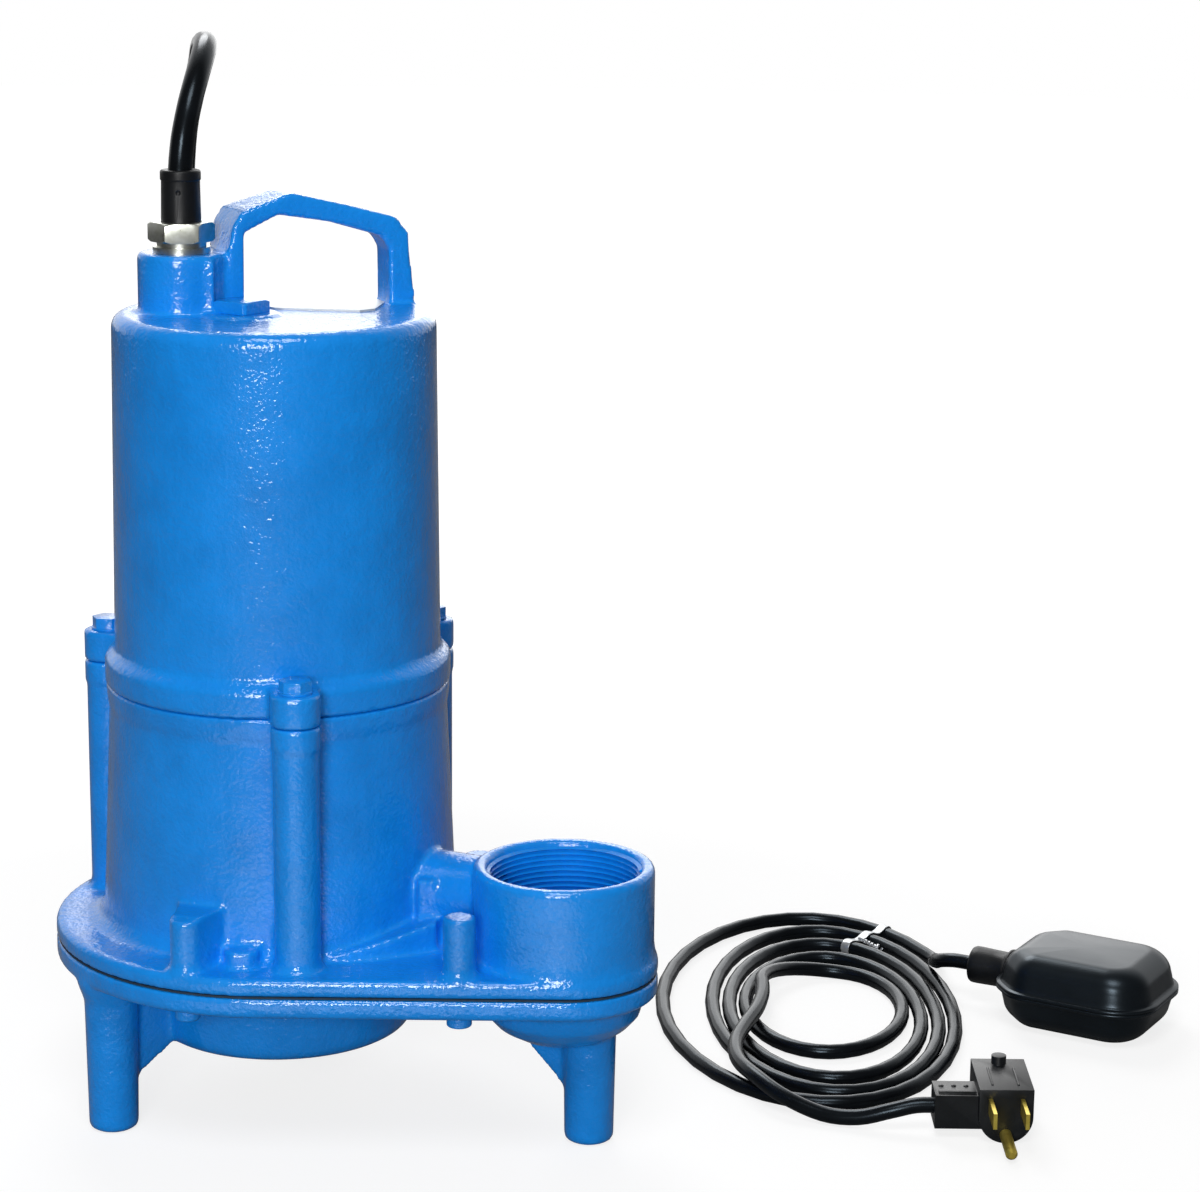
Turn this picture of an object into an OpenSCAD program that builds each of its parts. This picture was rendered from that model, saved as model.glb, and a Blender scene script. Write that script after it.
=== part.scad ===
// Submersible sump pump with a vertical threaded discharge, a cast lifting handle,
// its power cord, and a loose float switch on its own cord with a piggyback plug.
// Millimetres, +Z up, standing on Z = 0. The origin is under the middle of the
// base flange's outline; the shaft's axis stands at X = axis_x, Y = 0.

/* [Motor housing] */
// Outer radius of the housing at its foot
housing_r = 64.8; // [60:0.1:66]
// Outer radius of the housing at its top edge (the casting has draft)
housing_top_r = 63.3; // [58:0.1:65]
// Height of the flat top above the floor
housing_top = 321; // [300:1:340]
// Height of the joint between housing and casing
joint_z = 174.4; // [165:0.1:185]
// Radius of the step flange at the joint
ring_r = 68.8; // [67:0.1:72]
// Height of the step flange
ring_h = 12; // [8:0.5:16]
// Wall of the housing
housing_wall = 6.8; // [5:0.1:9]

/* [Handle and cord boss] */
// Angle of the handle seen from above
handle_turn = 25; // [0:1:40]
// Depth of the handle strap at the cord side
handle_deep = 26; // [16:1:30]
// Depth of the handle strap at the far side
handle_shallow = 15.5; // [12:0.5:26]
// Height of the handle's ridge, to the middle of the strap
handle_ridge_z = 362.6; // [350:0.1:375]
// Radius of the cord boss
boss_r = 17.3; // [15:0.1:20]
// Height of the cord boss's top
boss_top = 344.2; // [335:0.1:350]

/* [Casing and discharge] */
// Radius of the lower body under the joint
casing_top_r = 67.4; // [65:0.1:69]
// Radius of the lower body at the base flange
casing_r = 71; // [69:0.1:74]
// Radius of the base flange round the shaft
flange_r = 90.5; // [86:0.5:95]
// Radius of the base flange round the discharge
discharge_flange_r = 37.2; // [36.5:0.1:42]
// Distance of the discharge from the shaft along X
discharge_x = 115.6; // [105:0.1:125]
// Height of the discharge mouth
discharge_top = 113.7; // [105:0.1:120]
// Outer radius of the discharge boss
discharge_r = 35.5; // [34.5:0.1:36.5]
// Radius of the bore for a 2 inch tapered pipe thread
discharge_bore_r = 30.1; // [29.5:0.1:30.5]
// Distance of the bolt columns from the shaft
column_ring = 76.5; // [75:0.1:79]
// Radius of a bolt column
column_r = 9.6; // [8.5:0.1:10.5]

/* [Base] */
// Underside of the casing flange
gasket_z = 70.9; // [68:0.1:73]
// Thickness of the gasket
gasket_t = 0.8; // [0.5:0.1:1.5]
// Underside of the base plate's flange
plate_z = 61.9; // [58:0.1:64]
// Outer radius of the suction bowl
bowl_r = 54; // [50:0.5:58]
// Height of the bowl's underside above the floor
bowl_z = 29.5; // [22:0.5:35]
// Radius of the suction opening
suction_r = 27; // [22:0.5:30]
// Radius of a foot
foot_r = 10; // [8:0.5:12]

/* [Motor and shaft] */
// Outer radius of the stator core, a press fit in the housing
stator_r = 57.6; // [52:0.1:58]
// Radius of the rotor core
rotor_r = 33.6; // [28:0.1:36]
// Air gap between rotor and stator
air_gap = 0.4; // [0.3:0.1:0.8]
// Height of the stator core
stator_h = 50; // [40:1:60]
// Radius of the shaft at the seal and impeller
shaft_r = 8; // [7:0.5:9]

/* [Impeller] */
// Radius of the impeller's back plate
impeller_r = 44; // [38:0.5:46]
// Number of impeller vanes
vane_count = 6; // [4:1:8]
// Depth of the vanes below the back plate
vane_h = 20; // [14:1:22]

/* [Cords] */
// Diameter of the power cord
power_cord_d = 9.5; // [8:0.1:10]
// Diameter of the float switch's cord
float_cord_d = 6.4; // [5.5:0.1:6.5]
// Turns in each of the power coil's two layers
power_layer_turns = 3; // [2:1:3]

/* [Float switch] */
// Length of the float
float_l = 72; // [65:1:80]
// Width of the float
float_w = 60; // [52:1:64]
// Thickness of the float
float_h = 35; // [32:1:40]
// Turn of the float on the floor, seen from above
float_turn = -30; // [-40:1:-20]

/* [Hidden] */
$fn = 96;

blue = "#1f78c8";
black = "#1a1a1c";
zinc = "#c9ccc6";
steel = "#9a9da0";
brass = "#c9a227";

// The flange's left edge and the discharge's right edge are equally far from the origin.
axis_x = -(discharge_x + discharge_flange_r - flange_r) / 2;
discharge_y = discharge_flange_r - flange_r;
casing_flange_top = 77.6;
plate_top = gasket_z - gasket_t;
column_angles = [-79.5, 40.5, 160.5];
ear_h = ring_h + 0.5;
bolt_top = joint_z + ear_h;
hex_af = 11.1;
hex_h = 5;
// Base screws, and the two short bosses that stand open at the front.
screw_spots = [[-28.5, -77.5], [76.2, -82], [101, -4], [80, 14], [-53, 63]];
short_bosses = [[[-28.5, -77.5], 98.3], [[76.2, -82], 101.5], [[-53, 63], 96], [[80, 14], 96]];
boss_post_r = 6.4;
foot_spots = [[-63, -46], [126.3, -53.4], [6, 76.5]];
boss_spot = [-35.5, -2];
plug_spot = [-11.5, -12.5];
// The handle's front inner corner at the cord side.
handle_spot = [-12, -4];

// Moves a part from the shaft's own axis to the model's frame.
module on_axis() translate([axis_x, 0, 0]) children();

module hex_prism(af, h) cylinder(r = af / sqrt(3), h = h, $fn = 6);

// A ring of the given section, by radii and heights.
module ring(r_in, r_out, z0, z1) translate([0, 0, z0]) difference() {
    cylinder(r = r_out, h = z1 - z0);
    translate([0, 0, -1]) cylinder(r = r_in, h = z1 - z0 + 2);
}

// A disc whose outer edges are rounded by e.
module soft_disc(r, h, e) rotate_extrude() union() {
    square([r - e, h]);
    translate([0, e]) square([r, h - 2 * e]);
    translate([r - e, e]) circle(e, $fn = 32);
    translate([r - e, h - e]) circle(e, $fn = 32);
}

// ---- Outline of the base flange: two circles and their outer tangents ----

// Angle of the outward normal on the rear tangent.
tangent_split = acos((flange_r - discharge_flange_r)
    / norm([discharge_x, discharge_y]));
rear_normal = atan2(discharge_y, discharge_x) + tangent_split;

// The straight sides run a hair inside the tangents, so that they cross the circles cleanly.
module flange_outline(grow = 0) {
    big = flange_r + grow;
    small = discharge_flange_r + grow;
    side = 0.05;
    circle(big, $fn = 144);
    translate([discharge_x, discharge_y]) circle(small);
    polygon([[0, side - big], [discharge_x, discharge_y - small + side],
        [discharge_x + (small - side) * cos(rear_normal),
         discharge_y + (small - side) * sin(rear_normal)],
        [(big - side) * cos(rear_normal), (big - side) * sin(rear_normal)]]);
}

// ---- Motor housing: a cast cap with the handle and the cord boss in one piece ----

// Front outline of the handle, as distance along it and height above the housing's top.
handle_ridge = handle_ridge_z - housing_top;
handle_outside = [[-5.6, -8], [-4.9, 24], [-3, 33.5], [0.4, 38.8], [20.4, handle_ridge + 4.2],
    [44.8, handle_ridge - 1.5], [64.6, handle_ridge - 6.8], [69.4, handle_ridge - 13], [73.2, -8]];
handle_inside = [[61.9, -8], [61.5, 22], [58.2, handle_ridge - 14.1], [36.4, handle_ridge - 7.7],
    [15.4, handle_ridge - 4.3], [1.1, 30.6], [0.7, -8]];

module handle() translate([handle_spot[0], handle_spot[1], housing_top])
    rotate(handle_turn) intersection() {
        translate([0, handle_deep, 0]) rotate([90, 0, 0]) linear_extrude(handle_deep)
            polygon(concat(handle_outside, handle_inside));
        translate([0, 0, -20]) linear_extrude(100) polygon([[-12, 0.01], [80, 0.01],
            [80, handle_shallow], [34, handle_shallow], [12, handle_deep - 3],
            [4, handle_deep - 0.01], [-12, handle_deep - 0.01]]);
    }

module housing_ears() for (a = column_angles) rotate(a)
    translate([column_ring, 0, joint_z]) {
        cylinder(r = column_r, h = ear_h);
        translate([-12, 0.2 - column_r, 0.3]) cube([12, 2 * column_r - 0.4, ear_h - 0.5]);
    }

module motor_housing() color(blue) on_axis() difference() {
    union() {
        rotate_extrude($fn = 144) union() {
            polygon([[0, joint_z], [ring_r, joint_z], [ring_r, joint_z + ring_h - 2],
                [ring_r - 2, joint_z + ring_h], [housing_r + 1.5, joint_z + ring_h],
                [housing_r, joint_z + ring_h + 2], [housing_top_r, housing_top - 5],
                [housing_top_r - 5, housing_top], [0, housing_top]]);
            translate([housing_top_r - 5, housing_top - 5]) circle(5, $fn = 40);
        }
        housing_ears();
        handle();
        translate([plug_spot[0], plug_spot[1], housing_top - 2])
            cylinder(r1 = 16.5, r2 = 14.5, h = 3.4, $fn = 64);
        translate([boss_spot[0], boss_spot[1], housing_top - 6]) {
            soft_disc(boss_r, boss_top - housing_top + 6, 1.2);
            translate([0, -boss_r + 3, 0]) cube([14, boss_r + 3, boss_top - housing_top + 4]);
        }
    }
    // Motor space, stepped in under the top bearing's carrier.
    translate([0, 0, joint_z - 1]) cylinder(r = housing_r - housing_wall - 0.4,
        h = 290 - joint_z + 1);
    difference() {
        translate([0, 0, 289]) cylinder(r = housing_top_r - housing_wall - 4, h = 20);
        translate([0, 0, 284]) cylinder(r = 24, h = 30);
    }
    // Bearing seat under the top.
    translate([0, 0, 284]) cylinder(r = 17.5, h = 15);
    // O-ring chamfer at the joint.
    translate([0, 0, joint_z - 0.1]) cylinder(r1 = 62.2, r2 = 57.6, h = 4.6);
    // Bolt holes through the ears.
    for (a = column_angles) rotate(a) translate([column_ring, 0, joint_z - 1])
        cylinder(r = 3.4, h = ring_h + 2, $fn = 32);
    // Hole for the plug.
    translate([plug_spot[0], plug_spot[1], housing_top - 30])
        cylinder(r = 5, h = 40, $fn = 32);
    // Cord way through the boss, with the gland's seat.
    translate([boss_spot[0], boss_spot[1], 290]) cylinder(r = 6.5, h = 80, $fn = 48);
    translate([boss_spot[0], boss_spot[1], boss_top - 14]) cylinder(r = 10.2, h = 20, $fn = 48);
}

module oil_plug() color(blue) on_axis() translate([plug_spot[0], plug_spot[1], housing_top]) {
    translate([0, 0, -9]) cylinder(r = 4.95, h = 11, $fn = 32);
    translate([0, 0, 1.4]) rotate(-32) intersection() {
        translate([-8.3, -8.3, 0]) cube([16.6, 16.6, 4.8]);
        rotate_extrude($fn = 64) polygon([[0, 0], [11, 0], [11, 4], [9.4, 4.8], [0, 4.8]]);
    }
}

module nameplate() color("white") on_axis() difference() {
    translate([19, 24, housing_top]) rotate(-7) intersection() {
        translate([-22, -21, 0]) cube([44, 36, 0.8]);
        translate([0, 0, -1]) cylinder(r = 27, h = 3);
    }
    // Cut short where the handle's foot stands.
    translate([handle_spot[0], handle_spot[1], housing_top - 1]) rotate(handle_turn)
        translate([61, -1, 0]) cube([20, 30, 4]);
}

module housing_bolts() color(blue) on_axis() for (a = column_angles) rotate(a)
    translate([column_ring, 0, 0]) {
        translate([0, 0, joint_z - 22]) cylinder(r = 3.15, h = ring_h + 22, $fn = 32);
        translate([0, 0, bolt_top]) cylinder(r = 6.6, h = 0.9, $fn = 40);
        translate([0, 0, bolt_top]) rotate(12) hex_prism(hex_af, hex_h);
    }

module housing_oring() color(black) on_axis() translate([0, 0, joint_z + 1.4])
    rotate_extrude() translate([59.2, 0]) circle(1.4, $fn = 32);

// ---- Volute casing: lower body, base flange, bolt columns and discharge ----

module casing_columns() for (a = column_angles) rotate(a) {
    translate([column_ring, 0, gasket_z]) {
        cylinder(r = column_r - 0.6, h = joint_z - gasket_z - 6);
        cylinder(r = column_r, h = 9);
    }
    translate([column_ring, 0, joint_z - 9]) cylinder(r = column_r, h = 9);
    translate([60, -column_r + 2.4, gasket_z])
        cube([column_ring - 60, 2 * column_r - 4.8, joint_z - gasket_z]);
}

module short_posts() for (b = short_bosses) translate([b[0][0], b[0][1], 0]) {
    translate([0, 0, gasket_z]) cylinder(r = boss_post_r, h = b[1] - gasket_z, $fn = 48);
    translate([0, 0, casing_flange_top - 1]) cylinder(r1 = boss_post_r + 1.8, r2 = boss_post_r,
        h = 4, $fn = 48);
}

// The web from a short boss back to the lower body.
module boss_web(spot, top, t) {
    a = atan2(spot[1], spot[0]);
    rotate(a) translate([60, -t / 2, gasket_z]) cube([norm(spot) - 60, t, top - gasket_z]);
}

// The thick web of the left front boss, and a low pad beside it.
module front_web() translate([0, 0, gasket_z]) {
    linear_extrude(99.2 - gasket_z) polygon([[-34, -77], [-23, -80.5], [-15.2, -69.5],
        [-15.2, -60], [-33, -55]]);
    linear_extrude(84.6 - gasket_z) polygon([[-15.8, -64], [-14.6, -75.5], [-11.5, -79],
        [-4.5, -79], [-1.2, -75.5], [-0.6, -64]]);
}

// The volute's outer wall: it leaves the lower body and rises towards the discharge.
ledge_end = 66;
module volute_ledge() intersection() {
    translate([12, 26, gasket_z]) cylinder(r = 96.5, h = 40, $fn = 144);
    rotate([90, 0, 0]) translate([0, 0, 30]) linear_extrude(50) polygon([[20, gasket_z],
        [ledge_end, gasket_z], [ledge_end, 89.5], [20, casing_flange_top + 1.2]]);
}

// The outlet from the volute to the discharge: a round-topped tunnel on a narrower wall.
module discharge_duct() rotate(atan2(discharge_y, discharge_x)) {
    reach = norm([discharge_x, discharge_y]) - 31.5;
    translate([52, 0, 95]) rotate([0, 90, 0]) cylinder(r = 16, h = reach - 52, $fn = 80);
    translate([52, -12.6, gasket_z]) cube([reach - 52, 25.2, 95 - gasket_z]);
}

module volute_casing() color(blue) on_axis() difference() {
    union() {
        // Base flange with a small top edge round.
        translate([0, 0, gasket_z]) linear_extrude(casing_flange_top - gasket_z - 1.2)
            flange_outline();
        translate([0, 0, gasket_z]) linear_extrude(casing_flange_top - gasket_z)
            flange_outline(-1.2);
        // Lower body with draft and a fillet at the flange.
        rotate_extrude($fn = 144) polygon([[0, gasket_z], [casing_r + 6, gasket_z],
            [casing_r + 6, casing_flange_top], [casing_r + 2, casing_flange_top + 1.4],
            [casing_r, casing_flange_top + 6], [casing_top_r, joint_z - 10],
            [ring_r - 0.8, joint_z - 7.4], [ring_r - 0.3, joint_z], [0, joint_z]]);
        casing_columns();
        short_posts();
        front_web();
        volute_ledge();
        boss_web([-53, 63], 92, 5);
        boss_web([80, 14], 92, 5);
        discharge_duct();
        // Discharge boss with a beaded mouth.
        translate([discharge_x, discharge_y, gasket_z]) {
            cylinder(r = discharge_r, h = discharge_top - gasket_z - 1.5);
            cylinder(r = discharge_r - 1.2, h = discharge_top - gasket_z);
            cylinder(r1 = discharge_r + 1.7, r2 = discharge_r, h = 12);
        }
        // Rib in front of the discharge boss, and a post on the lower body.
        translate([88.5, -66, gasket_z]) cylinder(r = 4.2, h = 95.5 - gasket_z, $fn = 40);
        translate([88.5, -66, gasket_z]) rotate(30) translate([0, -4.2, 0])
            cube([10, 8.4, 95.5 - gasket_z]);
        translate([63.5, -44, gasket_z]) cylinder(r = 3.4, h = 104 - gasket_z, $fn = 32);
        translate([58, -46.8, gasket_z]) cube([6, 6, 104 - gasket_z]);
    }
    // Seal and oil space, with the ledge that the bearing bracket rests on.
    translate([0, 0, 102]) cylinder(r = 56, h = joint_z - 101);
    translate([0, 0, joint_z - 9]) cylinder(r = 60, h = 10);
    // Seat for the seal, and the shaft's way through the wall.
    translate([0, 0, 94.5]) cylinder(r = 16, h = 10);
    translate([0, 0, 85]) cylinder(r = 10.5, h = 20, $fn = 64);
    // Volute chamber and the throat to the discharge.
    translate([0, 0, gasket_z - 1]) cylinder(r = 50, h = 89 - gasket_z);
    rotate(atan2(discharge_y, discharge_x)) translate([30, -9, gasket_z - 1])
        cube([norm([discharge_x, discharge_y]) - 50, 18, 104 - gasket_z]);
    // Discharge bore.
    translate([discharge_x, discharge_y, gasket_z - 1])
        cylinder(r = discharge_bore_r, h = discharge_top - gasket_z + 2);
    translate([discharge_x, discharge_y, discharge_top - 1.4])
        cylinder(r1 = discharge_bore_r, r2 = discharge_bore_r + 1.6, h = 1.5);
    // Blind threaded holes of the housing bolts.
    for (a = column_angles) rotate(a) translate([column_ring, 0, joint_z - 24])
        cylinder(r = 3.15, h = 25, $fn = 32);
    // Blind holes of the base screws.
    for (s = screw_spots) translate([s[0], s[1], gasket_z - 1])
        cylinder(r = 2.9, h = s == screw_spots[2] ? 5.5 : 16, $fn = 32);
}

module volute_gasket() color("#5a5f3c") on_axis() difference() {
    translate([0, 0, plate_top]) linear_extrude(gasket_t) flange_outline(-0.5);
    translate([0, 0, plate_top - 1]) cylinder(r = 50, h = 3);
    translate([discharge_x, discharge_y, plate_top - 1]) cylinder(r = discharge_bore_r, h = 3);
    rotate(atan2(discharge_y, discharge_x)) translate([30, -9, plate_top - 1])
        cube([norm([discharge_x, discharge_y]) - 50, 18, 3]);
    for (s = screw_spots) translate([s[0], s[1], plate_top - 1])
        cylinder(r = 3.4, h = 3, $fn = 32);
}

// ---- Base plate: flange, suction bowl, elbow bottom and three feet ----

// A foot with a rounded toe, a flare at the plate and a web towards the shaft.
module foot(spot, web_reach, web_low, web_high) {
    a = atan2(spot[1], spot[0]);
    translate([spot[0], spot[1], 0]) {
        rotate_extrude($fn = 64) union() {
            polygon([[0, 0], [foot_r - 2.6, 0], [foot_r - 0.2, 2.4], [foot_r + 0.6, plate_z - 8],
                [foot_r + 3, plate_z - 1], [foot_r + 3, plate_z + 1], [0, plate_z + 1]]);
            translate([foot_r - 2.7, 2.6]) circle(2.5, $fn = 32);
        }
        rotate([90, 0, a + 180]) translate([0, 0, -3.5]) linear_extrude(7)
            polygon([[0, web_low], [web_reach, web_high], [web_reach, plate_z + 1], [0, plate_z + 1]]);
    }
}

module base_plate() color(blue) on_axis() difference() {
    union() {
        translate([0, 0, plate_z]) linear_extrude(plate_top - plate_z) flange_outline(-1);
        translate([0, 0, plate_z + 1]) linear_extrude(plate_top - plate_z - 1) flange_outline();
        // Suction bowl.
        rotate_extrude($fn = 144) union() {
            polygon([[0, bowl_z], [bowl_r - 6, bowl_z], [bowl_r - 0.6, bowl_z + 6],
                [bowl_r + 1, plate_z - 3], [bowl_r + 4, plate_z + 1], [0, plate_z + 1]]);
            translate([bowl_r - 6.6, bowl_z + 6]) circle(6, $fn = 40);
        }
        // Bottom of the elbow under the discharge.
        translate([discharge_x, discharge_y, 0]) rotate_extrude() polygon([[0, 44],
            [17, 44], [26, 49], [30.5, 54], [31.5, plate_z - 2], [34, plate_z + 1], [0, plate_z + 1]]);
        foot(foot_spots[0], 30, 14, 34);
        foot(foot_spots[1], 38, 12, 50);
        foot(foot_spots[2], 30, 14, 34);
    }
    // Bowl space and the suction opening.
    translate([0, 0, bowl_z + 6.5]) cylinder(r = 47.5, h = 60);
    translate([0, 0, bowl_z - 1]) cylinder(r = suction_r, h = 20);
    translate([0, 0, bowl_z - 0.1]) cylinder(r1 = suction_r + 3, r2 = suction_r, h = 3.1);
    // Hollow under the discharge and the throat's floor.
    translate([discharge_x, discharge_y, 0]) rotate_extrude() polygon([[0, 51],
        [14, 51], [26, 58], [27, plate_top + 1], [0, plate_top + 1]]);
    rotate(atan2(discharge_y, discharge_x)) translate([30, -9, 64.5])
        cube([norm([discharge_x, discharge_y]) - 50, 18, 10]);
    for (s = screw_spots) translate([s[0], s[1], plate_z - 1])
        cylinder(r = 3.4, h = 20, $fn = 32);
}

module base_screws() color(blue) on_axis() for (s = screw_spots)
    translate([s[0], s[1], 0]) {
        translate([0, 0, plate_z]) cylinder(r = 2.85,
            h = s == screw_spots[2] ? 11 : 20, $fn = 32);
        translate([0, 0, plate_z - 4.4]) difference() {
            soft_disc(4.9, 4.4, 0.8);
            translate([0, 0, -1]) hex_prism(4.8, 3);
        }
    }

// ---- Gland and cord boot ----

module at_boss() on_axis() translate([boss_spot[0], boss_spot[1], 0]) children();

module gland_body() color(zinc) at_boss() difference() {
    union() {
        translate([0, 0, boss_top - 13.5]) cylinder(r = 10.1, h = 14, $fn = 64);
        translate([0, 0, boss_top]) cylinder(r = 11.2, h = 2.2, $fn = 64);
        translate([0, 0, boss_top]) cylinder(r = 9.6, h = 8.5, $fn = 64);
    }
    translate([0, 0, boss_top - 20]) cylinder(r = 6.4, h = 40, $fn = 48);
}

module gland_nut() color(zinc) at_boss() difference() {
    translate([0, 0, boss_top + 4.2]) rotate(8) intersection() {
        hex_prism(22.6, 7.6);
        translate([0, 0, -0.01]) rotate_extrude($fn = 64) polygon([[0, 0], [12, 0], [13.4, 1.2],
            [13.4, 6.4], [11.6, 7.62], [0, 7.62]]);
    }
    translate([0, 0, boss_top]) cylinder(r = 9.7, h = 9.2, $fn = 64);
    translate([0, 0, boss_top]) cylinder(r = 7.9, h = 20, $fn = 48);
}

boot_foot = boss_top + 9.4;
boot_top = 376;
module cord_boot() color(black) at_boss() difference() {
    union() {
        translate([0, 0, boot_foot]) cylinder(r = 7.8, h = 3, $fn = 48);
        translate([0, 0, boot_foot + 2]) cylinder(r1 = 7.8, r2 = 7.5, h = 17, $fn = 48);
        translate([0, 0, boot_top - 4.4]) soft_disc(7.9, 4.4, 1);
    }
    translate([0, 0, boot_top - 5]) cylinder(r = power_cord_d / 2, h = 6, $fn = 48);
    translate([0, -8.6, boot_foot + 14]) sphere(1.5, $fn = 24);
}

// ---- Sweeps: cords as one tube along their own routes ----

function unit(v) = v / norm(v);

// A point on the smooth curve through p, between p[i] and p[i + 1].
function spline_point(p, i, t) =
    let (n = len(p) - 1, a = p[max(i - 1, 0)], b = p[i], c = p[min(i + 1, n)], d = p[min(i + 2, n)])
    0.5 * (2 * b + (c - a) * t + (2 * a - 5 * b + 4 * c - d) * t * t
        + (3 * b - a - 3 * c + d) * t * t * t);

// The same curve as points, with the given steps between neighbours of p.
function spline(p, steps) = concat(
    [for (i = [0 : len(p) - 2], k = [0 : steps - 1]) spline_point(p, i, k / steps)],
    [p[len(p) - 1]]);

// Direction of path p at its point i.
function heading(p, i) = unit(p[min(i + 1, len(p) - 1)] - p[max(i - 1, 0)]);

// Side vectors carried along the path without twist.
function carried(p, i = 0, side = [1, 0, 0.001], out = []) = i >= len(p) ? out :
    let (h = heading(p, i), s = unit(side - h * (h * side)))
    carried(p, i + 1, s, concat(out, [s]));

// One closed tube of triangles with radius r round path p.
module tube(p, r, sides) {
    n = len(p);
    s = carried(p, 0, abs(heading(p, 0)[0]) > 0.9 ? [0, 1, 0] : [1, 0, 0.001]);
    rings = [for (i = [0 : n - 1]) let (h = heading(p, i), u = s[i], v = cross(h, u))
        for (k = [0 : sides - 1]) let (a = 360 * k / sides)
            p[i] + r * (cos(a) * u + sin(a) * v)];
    walls = [for (i = [0 : n - 2], k = [0 : sides - 1])
        let (a = i * sides + k, b = i * sides + (k + 1) % sides)
        each [[a, a + sides, b], [b, a + sides, b + sides]]];
    start_cap = [for (k = [1 : sides - 2]) [0, k, k + 1]];
    end_cap = [for (k = [1 : sides - 2]) let (e = (n - 1) * sides) [e, e + k + 1, e + k]];
    polyhedron(concat(rings), concat(walls, start_cap, end_cap));
}

// Least distance between stretches of a coil that lie over half a turn apart.
function self_gap(p, r, apart) = min([for (i = [0 : len(p) - 1 - apart])
    min([for (j = [i + apart : len(p) - 1]) norm(p[i] - p[j])])]) - 2 * r;

// ---- Power cord: up out of the boot, over and down behind the pump ----

coil_ring_steps = 24;
power_r = power_cord_d / 2;
power_pitch = power_cord_d + 2.1;
power_layer = power_cord_d + 0.7;
power_coil_centre = [-16, 205];
power_coil_outer_r = 73;
power_coil_inner_r = power_coil_outer_r - power_pitch * power_layer_turns;

// Route of the free stretch, in the shaft's frame.
power_route = [[-35.5, -2, 376], [-35, -2, 382], [-34, -1, 390], [-32, 3, 401],
    [-30, 11, 411], [-29, 24, 419], [-30, 38, 422], [-33, 52, 420], [-36, 66, 412],
    [-40, 76, 400], [-44, 82, 384], [-46, 84, 360], [-47, 85, 325], [-48, 86, 280],
    [-49, 88, 230], [-51, 91, 180], [-52, 95, 135], [-55, 101, 95], [-59, 107, 62],
    [-65, 115, 36], [-71, 126, 18], [-78, 141, 8], [-84, 158, 4.75], [-88, 176, 4.75],
    [-89, 195, 4.75], [-89, 205, 4.75]];

// Spiral in on the floor, climb through half a turn, spiral out on top.
function power_coil_r(t) = t < power_layer_turns ? power_coil_outer_r - power_pitch * t :
    t < power_layer_turns + 0.5 ? power_coil_inner_r :
    power_coil_inner_r + power_pitch * (t - power_layer_turns - 0.5);
function power_coil_z(t) = power_r + power_layer
    * min(1, max(0, (t - power_layer_turns) * 2));
power_coil_turns = 2 * power_layer_turns + 0.5;
power_coil = [for (k = [0 : power_coil_turns * coil_ring_steps])
    let (t = k / coil_ring_steps, a = 180 - 360 * t)
    [power_coil_centre[0] + power_coil_r(t) * cos(a),
     power_coil_centre[1] + power_coil_r(t) * sin(a), power_coil_z(t)]];
echo(power_coil_gap = self_gap(power_coil, power_r, 14));

power_plug_spot = [57, 160, 12.5];
power_plug_route = [[57, 205, 14.95], [57, 196, 14.95], [57, 186, 14.2], [57, 174, 13],
    [57, 164, 12.5], power_plug_spot];

module power_cord() color(black) on_axis() tube(spline(power_route, 3), power_r, 10);
module power_cord_coil() color(black) on_axis() tube(power_coil, power_r, 6);
module power_plug_cord() color(black) on_axis() tube(spline(power_plug_route, 2), power_r, 10);

// ---- Plugs ----

// A D-shaped plug face: flat top, round bottom, of width w and height h.
module plug_face(w, h) {
    translate([-w / 2, w / 2 - h / 2]) square([w, h - w / 2]);
    translate([0, w / 2 - h / 2]) circle(w / 2, $fn = 64);
}

blade_gap = 12.7;
blade_drop = 11.9;
blade_l = 15.9;
blade_rise = 4.3;
pin_l = 21.4;

// Two blades and a ground pin pointing to -Y from the plane Y = 0.
module plug_pins() {
    for (s = [-1, 1]) translate([s * blade_gap / 2 - 0.75, -blade_l, blade_rise - 3.2])
        cube([1.5, blade_l + 6, 6.4]);
    translate([0, 6, blade_rise - blade_drop]) rotate([90, 0, 0]) union() {
        cylinder(r = 2.4, h = pin_l + 4, $fn = 32);
        translate([0, 0, pin_l + 4]) cylinder(r1 = 2.4, r2 = 1.2, h = 2, $fn = 32);
    }
}

// The power cord's moulded plug; its body runs to -Y from the cord's end.
module power_plug() color(black) on_axis() translate(power_plug_spot) difference() {
    union() {
        rotate([90, 0, 0]) cylinder(r1 = 7, r2 = 8.5, h = 14, $fn = 48);
        translate([0, -9, 0]) rotate([90, 0, 0]) linear_extrude(5) plug_face(19, 19);
        translate([0, -13, 0]) rotate([90, 0, 0]) linear_extrude(19) plug_face(24, 24);
    }
    translate([0, -32, 0]) plug_pins();
}

module power_plug_pins() color(brass) on_axis() translate(power_plug_spot)
    translate([0, -32, 0]) plug_pins();

// ---- Motor ----

core_z0 = 198;
core_z1 = core_z0 + stator_h;

module stator_core() color(steel) on_axis() difference() {
    translate([0, 0, core_z0]) cylinder(r = stator_r, h = stator_h);
    translate([0, 0, core_z0 - 1]) cylinder(r = rotor_r + air_gap, h = stator_h + 2);
}

module stator_windings() color("#b0602c") on_axis()
    for (z = [core_z0 - 15, core_z1]) translate([0, 0, z]) rotate_extrude() union() {
        translate([38, 0]) square([15, 15]);
        translate([36.5, 3]) square([18, 9]);
    }

module start_capacitor() color(black) on_axis()
    translate([0, 30, 276]) rotate([0, 90, 0]) translate([0, 0, -27])
        cylinder(r = 12.5, h = 54, $fn = 64);

module thermal_protector() color("#d8d2c4") on_axis()
    translate([-50, -8, core_z1 + 15]) cube([10, 16, 7]);

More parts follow.
